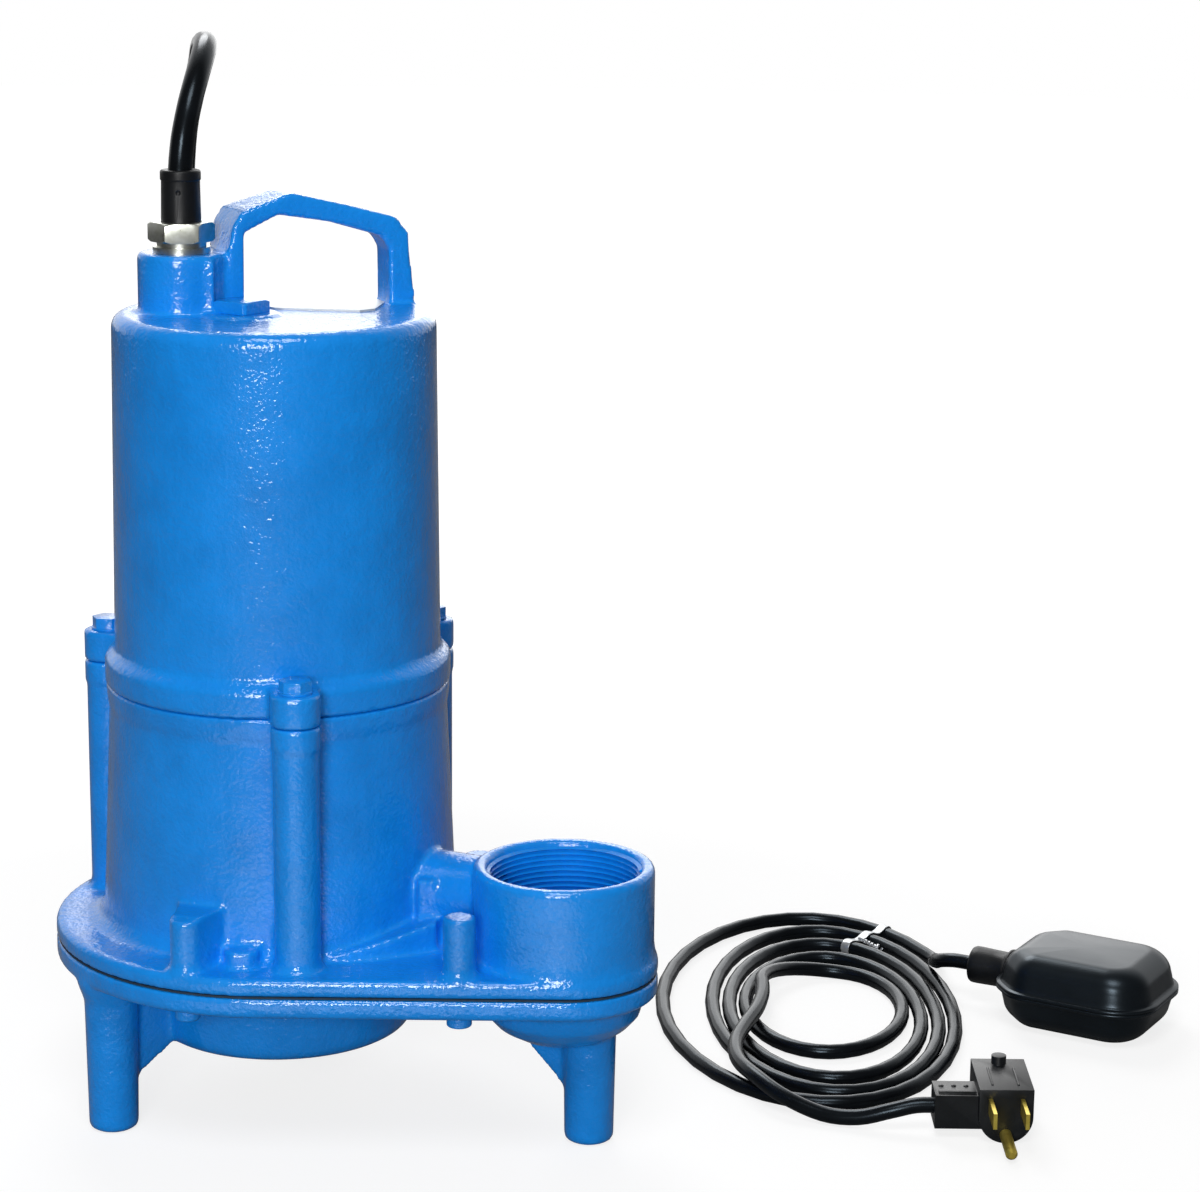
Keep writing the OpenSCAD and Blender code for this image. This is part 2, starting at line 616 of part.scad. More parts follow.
module bearing_bracket() color(steel) on_axis() difference() {
    union() {
        translate([0, 0, joint_z - 9]) cylinder(r = 59.9, h = 8.9);
        translate([0, 0, 148]) cylinder(r = 27, h = 24);
    }
    translate([0, 0, 153]) cylinder(r = 20, h = 40);
    translate([0, 0, 140]) cylinder(r = 11, h = 30);
}

module upper_bearing_outer() color(steel) on_axis() ring(14.6, 17.5, 286, 297);
module upper_bearing_inner() color(steel) on_axis() {
    ring(7.5, 10.4, 286, 297);
    for (k = [0 : 7]) rotate(k * 45) translate([12.3, 0, 291.5]) sphere(1.95, $fn = 24);
}
module lower_bearing_outer() color(steel) on_axis() ring(16.6, 20, 153, 165);
module lower_bearing_inner() color(steel) on_axis() {
    ring(8.5, 11.9, 153, 165);
    for (k = [0 : 7]) rotate(k * 45) translate([14.1, 0, 159]) sphere(2.25, $fn = 24);
}

module seal_seat() color("#e8e2d6") on_axis() ring(9, 16, 94.5, 102);

module shaft() color(steel) on_axis() union() {
    translate([0, 0, 286]) cylinder(r = 7.5, h = 12, $fn = 64);
    translate([0, 0, 165]) cylinder(r = 10, h = 121, $fn = 64);
    translate([0, 0, 140]) cylinder(r = 8.5, h = 25, $fn = 64);
    translate([0, 0, 64]) cylinder(r = shaft_r, h = 76, $fn = 64);
    translate([0, 0, 53]) cylinder(r = 5, h = 11, $fn = 48);
}

module rotor_core() color("#a8a9ab") on_axis() difference() {
    union() {
        translate([0, 0, core_z0]) cylinder(r = rotor_r, h = stator_h);
        for (z = [core_z0 - 6, core_z1]) translate([0, 0, z]) cylinder(r = 31, h = 6);
    }
    translate([0, 0, core_z0 - 10]) cylinder(r = 10, h = stator_h + 20, $fn = 64);
}

module seal_head() color(steel) on_axis() ring(shaft_r, 13.5, 102.3, 108);
module seal_spring() color(steel) on_axis() {
    ring(shaft_r, 9.4, 108, 124);
    for (z = [109.5 : 3 : 124]) translate([0, 0, z]) rotate_extrude($fn = 48)
        translate([10.2, 0]) circle(0.9, $fn = 16);
    ring(shaft_r, 12.5, 124, 127);
}

// ---- Impeller: a back plate with swept vanes below it ----

impeller_top = 84.5;
module vane() linear_extrude(vane_h + 2) difference() {
    translate([21, 11]) circle(24.5, $fn = 64);
    translate([22.6, 12.6]) circle(23.2, $fn = 64);
    translate([-40, -80]) square([120, 80]);
}

module impeller() color("#c08a4a") on_axis() difference() {
    union() {
        translate([0, 0, impeller_top - 4]) cylinder(r = impeller_r, h = 4);
        translate([0, 0, impeller_top - vane_h - 4]) intersection() {
            for (k = [0 : vane_count - 1]) rotate(k * 360 / vane_count) vane();
            cylinder(r = impeller_r, h = vane_h + 2);
        }
        translate([0, 0, 64]) cylinder(r = 13, h = impeller_top - 64 + 2.5, $fn = 64);
    }
    translate([0, 0, 60]) cylinder(r = shaft_r, h = 40, $fn = 64);
    translate([0, 0, 40]) cylinder(r = 12.4, h = 24, $fn = 64);
}

module impeller_washer() color(steel) on_axis() ring(5, 11, 62, 64);
module impeller_nut() color(steel) on_axis() difference() {
    translate([0, 0, 54]) hex_prism(17, 8);
    translate([0, 0, 50]) cylinder(r = 5, h = 20, $fn = 48);
}

// ---- Float switch, lying on the floor beside the pump ----

float_cord_r = float_cord_d / 2;
// The cord's flexing point, where the float's hinge is.
float_pivot = [294, 110, float_h / 2];
boot_gap = 2.5;
boot_l = 19.5;
float_start = boot_gap + boot_l - 1.5;

// Puts a float part on the floor: its own X runs from the pivot into the float.
module at_float() on_axis() translate(float_pivot) rotate(float_turn) children();

// A rectangle with its corners rounded by c, centred on the origin.
module soft_rect(l, w, c) {
    square([l - 2 * c, w], center = true);
    square([l, w - 2 * c], center = true);
    for (x = [-1, 1], y = [-1, 1]) translate([x * (l / 2 - c), y * (w / 2 - c)])
        circle(c, $fn = 64);
}

// The float from above: cut shoulders at the cord end, round corners at the far end.
module float_plan(inset = 0) {
    l = float_l - 2 * inset;
    w = float_w - 2 * inset;
    c = 17 - inset;
    shoulder = 13;
    polygon([[-l / 2, w / 2 - shoulder], [shoulder - l / 2, w / 2], [l / 2 - c, w / 2 - 0.05],
        [l / 2 - 0.05, w / 2 - c], [l / 2 - 0.05, c - w / 2], [l / 2 - c, 0.05 - w / 2],
        [shoulder - l / 2, -w / 2], [-l / 2, shoulder - w / 2]]);
    for (y = [-1, 1]) translate([l / 2 - c, y * (w / 2 - c)]) circle(c, $fn = 64);
}

// The float's form: its plan, with edges rounded along both sides.
module float_form(inset, e) intersection() {
    translate([0, 0, inset - float_h / 2]) linear_extrude(float_h - 2 * inset) float_plan(inset);
    rotate([90, 0, 0]) translate([0, 0, -60]) linear_extrude(120)
        soft_rect(float_l - 2 * inset, float_h - 2 * inset, e);
    rotate([90, 0, 90]) translate([0, 0, -60]) linear_extrude(120)
        soft_rect(float_w - 2 * inset, float_h - 2 * inset, e);
}

float_mid = float_start + float_l / 2;
module float_body() translate([float_mid, 0, 0]) difference() {
    union() {
        float_form(0, 10);
        translate([0, 0, -1.4]) linear_extrude(2.8) float_plan(-0.8);
    }
    translate([0, 0, -7.4]) linear_extrude(14.8) float_plan(2.6);
    translate([0, 0, 2.6 - float_h / 2]) linear_extrude(float_h - 5.2) float_plan(8);
    translate([-float_l / 2 - 5, 0, 0]) rotate([0, 90, 0]) cylinder(r = 7.55, h = 14, $fn = 48);
}

module float_upper_shell() color(black) at_float() intersection() {
    float_body();
    translate([0, -50, 0]) cube([140, 100, 50]);
}

module float_lower_shell() color(black) at_float() intersection() {
    float_body();
    translate([0, -50, -50]) cube([140, 100, 50]);
}

module float_boot() color(black) at_float() difference() {
    rotate([0, 90, 0]) rotate_extrude($fn = 64) polygon([[0, boot_gap], [4.9, boot_gap],
        [6.2, boot_gap + 8], [8, boot_gap + 9], [8, boot_gap + 15], [7.5, boot_gap + 15.6],
        [7.5, float_start + 7], [0, float_start + 7]]);
    sphere(float_cord_r + 0.3, $fn = 48);
}

guide_x = float_mid - 14;
module float_switch_body() color("#d8d2c4") at_float()
    translate([float_start + 8, -9, -7]) cube([guide_x - float_start - 8, 18, 14]);

module float_ball_guide() color("#d8d2c4") at_float() difference() {
    translate([guide_x, 0, 0]) rotate([0, 90, 0]) cylinder(r = 9, h = 36, $fn = 64);
    translate([guide_x + 2, 0, 0]) rotate([0, 90, 0]) cylinder(r = 7.4, h = 60, $fn = 64);
}

// The ball lies at the free end of its guide, and rolls to the switch as the float tips up.
module float_ball() color(steel) at_float() translate([guide_x + 28, 0, 0]) sphere(7, $fn = 48);

// The float's cord: a long flat spiral on the floor, its outer end at the float.
coil_start_angle = 35;
coil_steps = 106;
// Each turn lies inside the last; the outermost swings wide on the left.
function float_coil_point(t) = let (a = coil_start_angle + 360 * t,
    back = 213 - 18.5 * t, front = -30 + 12 * t + 8 * pow(max(0, t - 2), 2),
    swing = 14.6 * exp(-pow((t - 0.4) / 0.4, 2)) * (1 - cos(a)) / 2,
    rise = max(0, min(1, (t - 4.1) / 0.28)))
    [230.8 + (61.2 - 7.35 * t) * cos(a) - swing,
     (back + front) / 2 + (back - front) / 2 * sin(a),
     float_cord_r + 7.2 * rise * rise * (3 - 2 * rise)];
float_coil = [for (k = [0 : coil_steps]) float_coil_point(k / coil_ring_steps)];
echo(float_coil_gap = self_gap(float_coil, float_cord_r, 14));
echo(float_coil_end = float_coil[coil_steps], float_coil[coil_steps - 1]);

float_route = [float_pivot, [288.5, 113.2, 17.3], [284, 117.6, 15.8], [281.9, 123.7, 13.3],
    [281.8, 131, 10.8], [283.2, 139, 8.2], [284.5, 146.4, 5], [283.8, 153, 3.3],
    float_coil_point(0)];
// Over the turns on the left, down to the floor, and along them to the plug's grip.
piggyback_route = [float_coil[coil_steps], [201.3, 84, 10.4], [198, 66, 10.4],
    [192, 46, 10.4], [187.5, 26, 10.4], [188, 6, 10.4], [194.5, -12, 10.4], [205, -26, 7.6],
    [220, -35, 4], [234, -40, 4.6], [247, -42, 8.4], [257, -42, 10.8], [267, -42, 11]];

module float_cord() color(black) on_axis() union() {
    tube(spline(float_route, 2), float_cord_r, 8);
    translate(float_pivot) sphere(float_cord_r - 0.3, $fn = 32);
}
module float_cord_coil() color(black) on_axis() tube(float_coil, float_cord_r, 6);
module piggyback_cord() color(black) on_axis() tube(spline(piggyback_route, 2), float_cord_r, 8);

// A twist tie round the three outer turns of the coil.
tie_angle = 62;
module cord_tie() color("silver") on_axis() {
    spot = float_coil_point((tie_angle - coil_start_angle) / 360 + 1);
    translate([spot[0], spot[1], 0]) rotate(tie_angle - 12) rotate([90, 0, 0])
        translate([0, 0, -2]) linear_extrude(4) difference() {
            translate([-21.5, 0]) square([43, 8.2]);
            translate([-20.7, -1]) square([41.4, 8.4]);
        }
}

// ---- Piggyback plug: blades in front, a socket behind, the cord from the side ----

plug_w = 21.6;
plug_h = 22.4;
plug_l = 34;
piggyback_spot = [291.5, -54, plug_h / 2];
grip_w = 17;
module piggyback_plug() color(black) on_axis() translate(piggyback_spot) difference() {
    union() {
        translate([0, plug_l, 0]) rotate([90, 0, 0]) linear_extrude(plug_l)
            plug_face(plug_w, plug_h);
        // Side grip with a low ridge and the cord's entry.
        translate([-plug_w / 2 - grip_w, 4, -7]) cube([grip_w + 5, 16, 14]);
        translate([-plug_w / 2 - grip_w + 1.5, 6, 6]) cube([grip_w - 2, 2.4, 2]);
        // Round stud at the rear of the top.
        translate([0, plug_l - 4.5, 8]) cylinder(r = 3, h = 6.6, $fn = 32);
    }
    plug_pins();
    // Slots and ground hole of the socket.
    for (s = [-1, 1]) translate([s * blade_gap / 2 - 1.1, plug_l - 12, blade_rise - 3.6])
        cube([2.2, 20, 7.2]);
    translate([0, plug_l - 12, blade_rise - blade_drop]) rotate([-90, 0, 0])
        cylinder(r = 2.7, h = 20, $fn = 32);
}

module piggyback_pins() color(brass) on_axis() translate(piggyback_spot) plug_pins();

module piggyback_contacts() color(brass) on_axis() translate(piggyback_spot)
    for (s = [-1, 1]) translate([s * blade_gap / 2 - 1.1, plug_l - 12, blade_rise - 3.6])
        difference() {
            cube([2.2, 7, 7.2]);
            translate([0.4, 1, -1]) cube([1.4, 8, 10]);
        }

motor_housing();
oil_plug();
nameplate();
housing_bolts();
housing_oring();
volute_casing();
volute_gasket();
base_plate();
base_screws();
gland_body();
gland_nut();
cord_boot();
power_cord();
power_cord_coil();
power_plug_cord();
power_plug();
power_plug_pins();
stator_core();
stator_windings();
start_capacitor();
thermal_protector();
bearing_bracket();
upper_bearing_outer();
lower_bearing_outer();
seal_seat();
shaft();
rotor_core();
upper_bearing_inner();
lower_bearing_inner();
seal_head();
seal_spring();
impeller();
impeller_washer();
impeller_nut();
float_upper_shell();
float_lower_shell();
float_boot();
float_switch_body();
float_ball_guide();
float_ball();
float_cord();
float_cord_coil();
cord_tie();
piggyback_cord();
piggyback_plug();
piggyback_pins();
piggyback_contacts();
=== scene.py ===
"""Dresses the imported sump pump: rounded castings, cords, plugs, float switch and finishes.

Sizes are in millimetres in the shaft's own frame, except where a comment or docstring
says metres. The studio's lamps, floor and card are in metres in the row frame.
"""

import logging
import math
from dataclasses import dataclass
from enum import Enum
from typing import Callable, Optional, Sequence, Union

import bpy
from mathutils import Matrix, Vector


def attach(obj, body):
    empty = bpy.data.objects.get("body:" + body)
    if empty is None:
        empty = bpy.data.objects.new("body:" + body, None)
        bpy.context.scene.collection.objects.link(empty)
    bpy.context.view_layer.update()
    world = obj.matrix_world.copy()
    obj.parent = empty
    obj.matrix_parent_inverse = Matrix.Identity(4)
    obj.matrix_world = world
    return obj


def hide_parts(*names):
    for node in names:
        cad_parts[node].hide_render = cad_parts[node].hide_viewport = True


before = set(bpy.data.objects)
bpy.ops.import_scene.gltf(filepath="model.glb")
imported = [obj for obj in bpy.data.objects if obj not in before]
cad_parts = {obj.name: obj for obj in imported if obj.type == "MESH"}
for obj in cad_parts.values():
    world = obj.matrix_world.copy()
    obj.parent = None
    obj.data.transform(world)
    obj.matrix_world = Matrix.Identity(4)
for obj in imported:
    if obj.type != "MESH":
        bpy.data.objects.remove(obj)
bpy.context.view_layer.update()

log = logging.getLogger("sump_pump")

MM = 0.001
Point = tuple[float, float, float]
Setting = Union[float, int, str, bool, tuple]

# The shaft's axis in the row frame, and the other spots that the source names.
AXIS_X = -31.15
DISCHARGE_SPOT = (115.6, -53.3)
DISCHARGE_TOP = 113.7
POWER_CORD_D = 9.5
FLOAT_CORD_D = 6.4
# Where the float's cord flexes, and how the float is turned on the floor.
FLOAT_PIVOT = (294, 110, 17.5)
FLOAT_TURN_DEG = -30.0
# Points that a smooth route gets per stretch.
ROUTE_STEPS = 4

# Where the mottle's two colours stand between the noise's least and most.
MOTTLE_ENDS = (0.3, 0.62)
# A colour mix node's sockets have doubled names, so they are taken by number.
MIX_FIRST, MIX_SECOND, MIX_RESULT = 6, 7, 2
WHITE = (1.0, 1.0, 1.0, 1.0)
BLACK = (0.0, 0.0, 0.0, 1.0)


class Body(Enum):
    """The bodies that new pieces ride on."""

    PUMP = "pump"
    FLOAT = "float"


def placed(x: float, y: float, z: float) -> Vector:
    """Turns a place in the shaft's own frame into the row frame.

    Args:
        x: Millimetres to the right of the shaft.
        y: Millimetres behind the shaft.
        z: Millimetres over the floor.

    Returns:
        The place in metres.
    """
    return Vector(((x + AXIS_X) * MM, y * MM, z * MM))


def from_hex(code: str) -> tuple[float, float, float, float]:
    """Turns an sRGB hex colour into linear values.

    Args:
        code: Six hex digits after a hash sign.

    Returns:
        Linear red, green and blue, and a full alpha.
    """
    def linear(part: str) -> float:
        """Turns two hex digits into a linear value from 0 to 1."""
        value = int(part, 16) / 255
        return value / 12.92 if value <= 0.04045 else ((value + 0.055) / 1.055) ** 2.4

    return (linear(code[1:3]), linear(code[3:5]), linear(code[5:7]), 1.0)


# ---- Finishes -------------------------------------------------------------------------


def add_node(
    tree: bpy.types.NodeTree,
    kind: str,
    settings: Optional[dict[str, Setting]] = None,
    links: Optional[dict[str, bpy.types.NodeSocket]] = None,
) -> bpy.types.Node:
    """Adds one node with its settings and its incoming links.

    Args:
        tree: The node tree that gets the node.
        kind: Blender's name of the node type.
        settings: Values by the name of an input, or of a property of the node.
        links: Sockets to link, by the name of the input they go to.

    Returns:
        The new node.
    """
    node = tree.nodes.new(kind)
    properties = set(node.bl_rna.properties.keys())
    for name, value in (settings or {}).items():
        if name in properties:
            setattr(node, name, value)
    for name, value in (settings or {}).items():
        if name not in properties:
            node.inputs[name].default_value = value
    for name, socket in (links or {}).items():
        tree.links.new(socket, node.inputs[name])
    return node


def blank_material(
    name: str,
) -> tuple[bpy.types.Material, bpy.types.NodeTree, bpy.types.Node]:
    """Makes an empty node material.

    Args:
        name: The material's name.

    Returns:
        The material, its node tree and its Principled shader, linked to the output.
    """
    material = bpy.data.materials.new(name)
    material.use_nodes = True
    tree = material.node_tree
    tree.nodes.clear()
    shader = add_node(tree, "ShaderNodeBsdfPrincipled")
    output = add_node(tree, "ShaderNodeOutputMaterial")
    tree.links.new(shader.outputs["BSDF"], output.inputs["Surface"])
    return material, tree, shader


@dataclass(frozen=True)
class GrainedFinish:
    """A surface with a colour mottle and one or two layers of relief."""

    name: str
    colour: str
    mottle: str
    roughness: float
    metallic: float = 0.0
    ior: float = 1.5
    coat: float = 0.0
    coat_roughness: float = 0.1
    mottle_mm: float = 20.0
    grain_mm: float = 1.0
    grain_depth_mm: float = 0.02
    swell_mm: float = 0.0
    swell_depth_mm: float = 0.0
    roughness_spread: float = 0.0
    gloss_tint: str = "#FFFFFF"

    def make(self) -> bpy.types.Material:
        """Builds the material.

        Returns:
            The material, with its patterns scaled from real sizes.
        """
        material, tree, shader = blank_material(self.name)
        shader.inputs["Specular Tint"].default_value = from_hex(self.gloss_tint)
        place = add_node(tree, "ShaderNodeTexCoord").outputs["Object"]
        cloud = add_node(tree, "ShaderNodeTexNoise",
                         {"Scale": 1 / (self.mottle_mm * MM), "Detail": 4.0,
                          "Roughness": 0.6}, {"Vector": place})
        tint = add_node(tree, "ShaderNodeValToRGB", {}, {"Fac": cloud.outputs["Fac"]})
        for end, position, colour in zip(tint.color_ramp.elements, MOTTLE_ENDS,
                                         (self.mottle, self.colour)):
            end.position = position
            end.color = from_hex(colour)
        tree.links.new(tint.outputs["Color"], shader.inputs["Base Color"])
        for name, value in (("Metallic", self.metallic), ("IOR", self.ior),
                            ("Roughness", self.roughness), ("Coat Weight", self.coat),
                            ("Coat Roughness", self.coat_roughness)):
            shader.inputs[name].default_value = value
        if self.roughness_spread:
            spread = add_node(tree, "ShaderNodeMapRange",
                              {"To Min": self.roughness - self.roughness_spread,
                               "To Max": self.roughness + self.roughness_spread},
                              {"Value": cloud.outputs["Fac"]})
            tree.links.new(spread.outputs["Result"], shader.inputs["Roughness"])
        grain = add_node(tree, "ShaderNodeTexNoise",
                         {"Scale": 1 / (self.grain_mm * MM), "Detail": 2.0, "Roughness": 0.5},
                         {"Vector": place})
        relief = add_node(tree, "ShaderNodeBump",
                          {"Strength": 1.0, "Distance": self.grain_depth_mm * MM},
                          {"Height": grain.outputs["Fac"]})
        if self.swell_mm:
            swell = add_node(tree, "ShaderNodeTexNoise",
                             {"Scale": 1 / (self.swell_mm * MM), "Detail": 3.0},
                             {"Vector": place})
            relief = add_node(tree, "ShaderNodeBump",
                              {"Strength": 1.0, "Distance": self.swell_depth_mm * MM},
                              {"Height": swell.outputs["Fac"],
                               "Normal": relief.outputs["Normal"]})
        tree.links.new(relief.outputs["Normal"], shader.inputs["Normal"])
        if self.coat:
            tree.links.new(relief.outputs["Normal"], shader.inputs["Coat Normal"])
        return material


@dataclass(frozen=True)
class LinedFinish:
    """A surface crossed by fine parallel lines: laminations, wire or brushing."""

    name: str
    colour: str
    line: str
    roughness: float
    pitch_mm: float
    axis: str = "Z"
    metallic: float = 1.0
    depth_mm: float = 0.02
    waver: float = 0.4
    coat: float = 0.0

    def make(self) -> bpy.types.Material:
        """Builds the material.

        Returns:
            The material, with its lines at their real pitch.
        """
        material, tree, shader = blank_material(self.name)
        place = add_node(tree, "ShaderNodeTexCoord").outputs["Object"]
        # One of Blender's bands is a tenth of pi wide at a scale of 1.
        wave = add_node(tree, "ShaderNodeTexWave",
                        {"bands_direction": self.axis, "Distortion": self.waver,
                         "Scale": math.pi / 10 / (self.pitch_mm * MM), "Detail": 2.0},
                        {"Vector": place})
        tint = add_node(tree, "ShaderNodeMix",
                        {"data_type": "RGBA"}, {"Factor": wave.outputs["Fac"]})
        tint.inputs[MIX_FIRST].default_value = from_hex(self.line)
        tint.inputs[MIX_SECOND].default_value = from_hex(self.colour)
        tree.links.new(tint.outputs[MIX_RESULT], shader.inputs["Base Color"])
        relief = add_node(tree, "ShaderNodeBump",
                          {"Strength": 1.0, "Distance": self.depth_mm * MM},
                          {"Height": wave.outputs["Fac"]})
        tree.links.new(relief.outputs["Normal"], shader.inputs["Normal"])
        for name, value in (("Metallic", self.metallic), ("Roughness", self.roughness),
                            ("Coat Weight", self.coat)):
            shader.inputs[name].default_value = value
        return material


# Sprayed enamel on sand-cast iron: a wet gloss over a fine orange peel and slow waves.
ENAMEL = GrainedFinish("blue enamel on cast iron", "#0E90F0", "#0B84DE", 0.42, ior=1.2,
                       coat=1.0, coat_roughness=0.08, mottle_mm=26, grain_mm=1.5,
                       grain_depth_mm=0.18, swell_mm=6, swell_depth_mm=0.42,
                       roughness_spread=0.05)
# Zinc plate, turned and slightly yellowed: a soft grey metal sheen.
ZINC = GrainedFinish("zinc plated steel", "#D3D5CE", "#B9BBAE", 0.3, metallic=1.0,
                     mottle_mm=5, grain_mm=0.6, grain_depth_mm=0.01, roughness_spread=0.08)
# Extruded PVC jacket: black with a dull waxy sheen.
JACKET = GrainedFinish("extruded vinyl jacket", "#0D0F12", "#090A0C", 0.24, ior=1.34,
                       mottle_mm=14, grain_mm=0.8, grain_depth_mm=0.02,
                       roughness_spread=0.06, gloss_tint="#D6EDFF")
# Moulded rubber: a softer and duller black.
RUBBER = GrainedFinish("moulded black rubber", "#111316", "#0C0D0F", 0.4, ior=1.38,
                       mottle_mm=9, grain_mm=0.6, grain_depth_mm=0.03, roughness_spread=0.08)
# Injection moulded vinyl of the plugs: a fine spark-eroded texture.
PLUG_VINYL = GrainedFinish("moulded black vinyl", "#15181B", "#0F1113", 0.36, ior=1.4,
                           mottle_mm=8, grain_mm=0.7, grain_depth_mm=0.03,
                           roughness_spread=0.06)
# Welded ABS shells: smooth and half glossy.
SHELL = GrainedFinish("black ABS shell", "#0E1216", "#0A0D10", 0.3, ior=1.45,
                      mottle_mm=18, grain_mm=1.0, grain_depth_mm=0.012,
                      roughness_spread=0.06, gloss_tint="#D6EDFF")
# Stamped brass blades, lightly tarnished.
BRASS = GrainedFinish("stamped brass", "#E6D062", "#D3B94C", 0.34, metallic=0.85,
                      mottle_mm=4, grain_mm=0.5, grain_depth_mm=0.006, roughness_spread=0.08)
# Ground bearing and shaft steel.
GROUND_STEEL = GrainedFinish("ground steel", "#B9BBBD", "#A5A7A9", 0.22, metallic=1.0,
                             mottle_mm=12, grain_mm=0.4, grain_depth_mm=0.004,
                             roughness_spread=0.06)
# Punched and varnished core plates; drawn at 1 mm so that the stack shows.
LAMINATION = LinedFinish("varnished core plates", "#6E7073", "#3B3C3E", 0.42, 1.0)
# Enamelled copper turns, lacquered over.
COPPER = LinedFinish("lacquered copper wire", "#B5622D", "#6B3113", 0.3, 1.2, coat=0.5,
                     depth_mm=0.2, waver=1.5)
# Die-cast aluminium with a fine skin.
CAST_ALUMINIUM = GrainedFinish("cast aluminium", "#B4B6B7", "#9DA0A2", 0.45, metallic=1.0,
                               mottle_mm=10, grain_mm=0.9, grain_depth_mm=0.03)
# Sand-cast bronze, as it leaves the mould.
CAST_BRONZE = GrainedFinish("cast bronze", "#A87F4A", "#8A6436", 0.48, metallic=1.0,
                            mottle_mm=12, grain_mm=0.9, grain_depth_mm=0.05)
# Lapped alumina: pale and very smooth.
CERAMIC = GrainedFinish("lapped ceramic", "#E9E5DA", "#DDD8CB", 0.2, mottle_mm=15,
                        grain_mm=0.5, grain_depth_mm=0.003, ior=1.7)
# Moulded nylon in its natural cream.
NYLON = GrainedFinish("natural nylon", "#D9D3C3", "#CBC4B2", 0.45, mottle_mm=10,
                      grain_mm=0.7, grain_depth_mm=0.01)
# Pressed fibre gasket, its edge dusted by the blue overspray.
FIBRE = GrainedFinish("oversprayed pressed fibre", "#12344F", "#0C2438", 0.7, mottle_mm=3,
                      grain_mm=0.5, grain_depth_mm=0.05)
# Rolled aluminium plate, brushed and left blank.
PLATE = LinedFinish("brushed aluminium plate", "#D9DCDA", "#C4C8C6", 0.42, 0.8, axis="X",
                    metallic=0.3, depth_mm=0.006, waver=2.0)
# Metallised tape over a wire.
TIE_TAPE = GrainedFinish("silver twist tape", "#C9CBCD", "#AFB2B5", 0.32, metallic=0.7,
                         mottle_mm=3, grain_mm=0.8, grain_depth_mm=0.06)

NODE_FINISHES: dict[str, Union[GrainedFinish, LinedFinish]] = {
    "housing_oring": RUBBER, "volute_gasket": FIBRE, "gland_body": ZINC,
    "power_plug_pins": BRASS, "stator_core": LAMINATION, "stator_windings": COPPER,
    "start_capacitor": SHELL, "thermal_protector": NYLON, "bearing_bracket": CAST_ALUMINIUM,
    "upper_bearing_outer": GROUND_STEEL, "lower_bearing_outer": GROUND_STEEL,
    "seal_seat": CERAMIC, "shaft": GROUND_STEEL, "rotor_core": LAMINATION,
    "upper_bearing_inner": GROUND_STEEL, "lower_bearing_inner": GROUND_STEEL,
    "seal_head": GROUND_STEEL, "seal_spring": GROUND_STEEL, "impeller": CAST_BRONZE,
    "impeller_washer": GROUND_STEEL, "impeller_nut": GROUND_STEEL,
    "float_switch_body": NYLON, "float_ball_guide": NYLON, "float_ball": GROUND_STEEL,
    "piggyback_pins": BRASS, "piggyback_contacts": BRASS, "nameplate": PLATE,
}


# ---- Small tools for meshes -----------------------------------------------------------


def deselect() -> None:
    """Leaves nothing selected, in object mode."""
    if bpy.context.mode != "OBJECT":
        bpy.ops.object.mode_set(mode="OBJECT")
    bpy.ops.object.select_all(action="DESELECT")


def make_active(piece: bpy.types.Object) -> None:
    """Makes a piece the only selected and the active one.

    Args:
        piece: The piece.
    """
    deselect()
    piece.select_set(True)
    bpy.context.view_layer.objects.active = piece


def edit_all(piece: bpy.types.Object) -> None:
    """Opens a piece's mesh in edit mode with all of it selected.

    Args:
        piece: The piece.
    """
    make_active(piece)
    bpy.ops.object.mode_set(mode="EDIT")
    bpy.ops.mesh.select_all(action="SELECT")


def leave_edit() -> None:
    """Goes back to object mode."""
    bpy.ops.object.mode_set(mode="OBJECT")


def joined(pieces: Sequence[bpy.types.Object], name: str) -> bpy.types.Object:
    """Joins meshes into the first of them.

    Args:
        pieces: The meshes.
        name: The joined piece's name.

    Returns:
        The joined piece.
    """
    deselect()
    for piece in pieces:
        piece.select_set(True)
    bpy.context.view_layer.objects.active = pieces[0]
    bpy.ops.object.join()
    pieces[0].name = name
    return pieces[0]


def apply_modifier(piece: bpy.types.Object, kind: str, **settings: Setting) -> None:
    """Adds a modifier and applies it at once.

    Args:
        piece: The object that gets it.
        kind: Blender's name of the modifier type.
        settings: Its properties.
    """
    make_active(piece)
    modifier = piece.modifiers.new(kind.title(), kind)
    for name, value in settings.items():
        setattr(modifier, name, value)
    bpy.ops.object.modifier_apply(modifier=modifier.name)


def settle(piece: bpy.types.Object) -> None:
    """Moves a piece's place, turn and scale into its mesh."""
    make_active(piece)
    bpy.ops.object.transform_apply(location=True, rotation=True, scale=True)


def smooth_shade(piece: bpy.types.Object, angle: float = 40.0) -> None:
    """Shades a piece smooth below the given angle in degrees."""
    make_active(piece)
    bpy.ops.object.shade_smooth_by_angle(angle=math.radians(angle))


def merged_copy(node: str, name: str) -> bpy.types.Object:
    """Copies a CAD node's mesh into a new welded object.

    Args:
        node: The CAD node.
        name: The new object's name.

    Returns:
        The copy, at the origin, with no material.
    """
    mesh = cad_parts[node].data.copy()
    mesh.materials.clear()
    piece = bpy.data.objects.new(name, mesh)
    bpy.context.collection.objects.link(piece)
    edit_all(piece)
    bpy.ops.mesh.remove_doubles(threshold=0.00001)
    bpy.ops.mesh.customdata_custom_splitnormals_clear()
    leave_edit()
    return piece


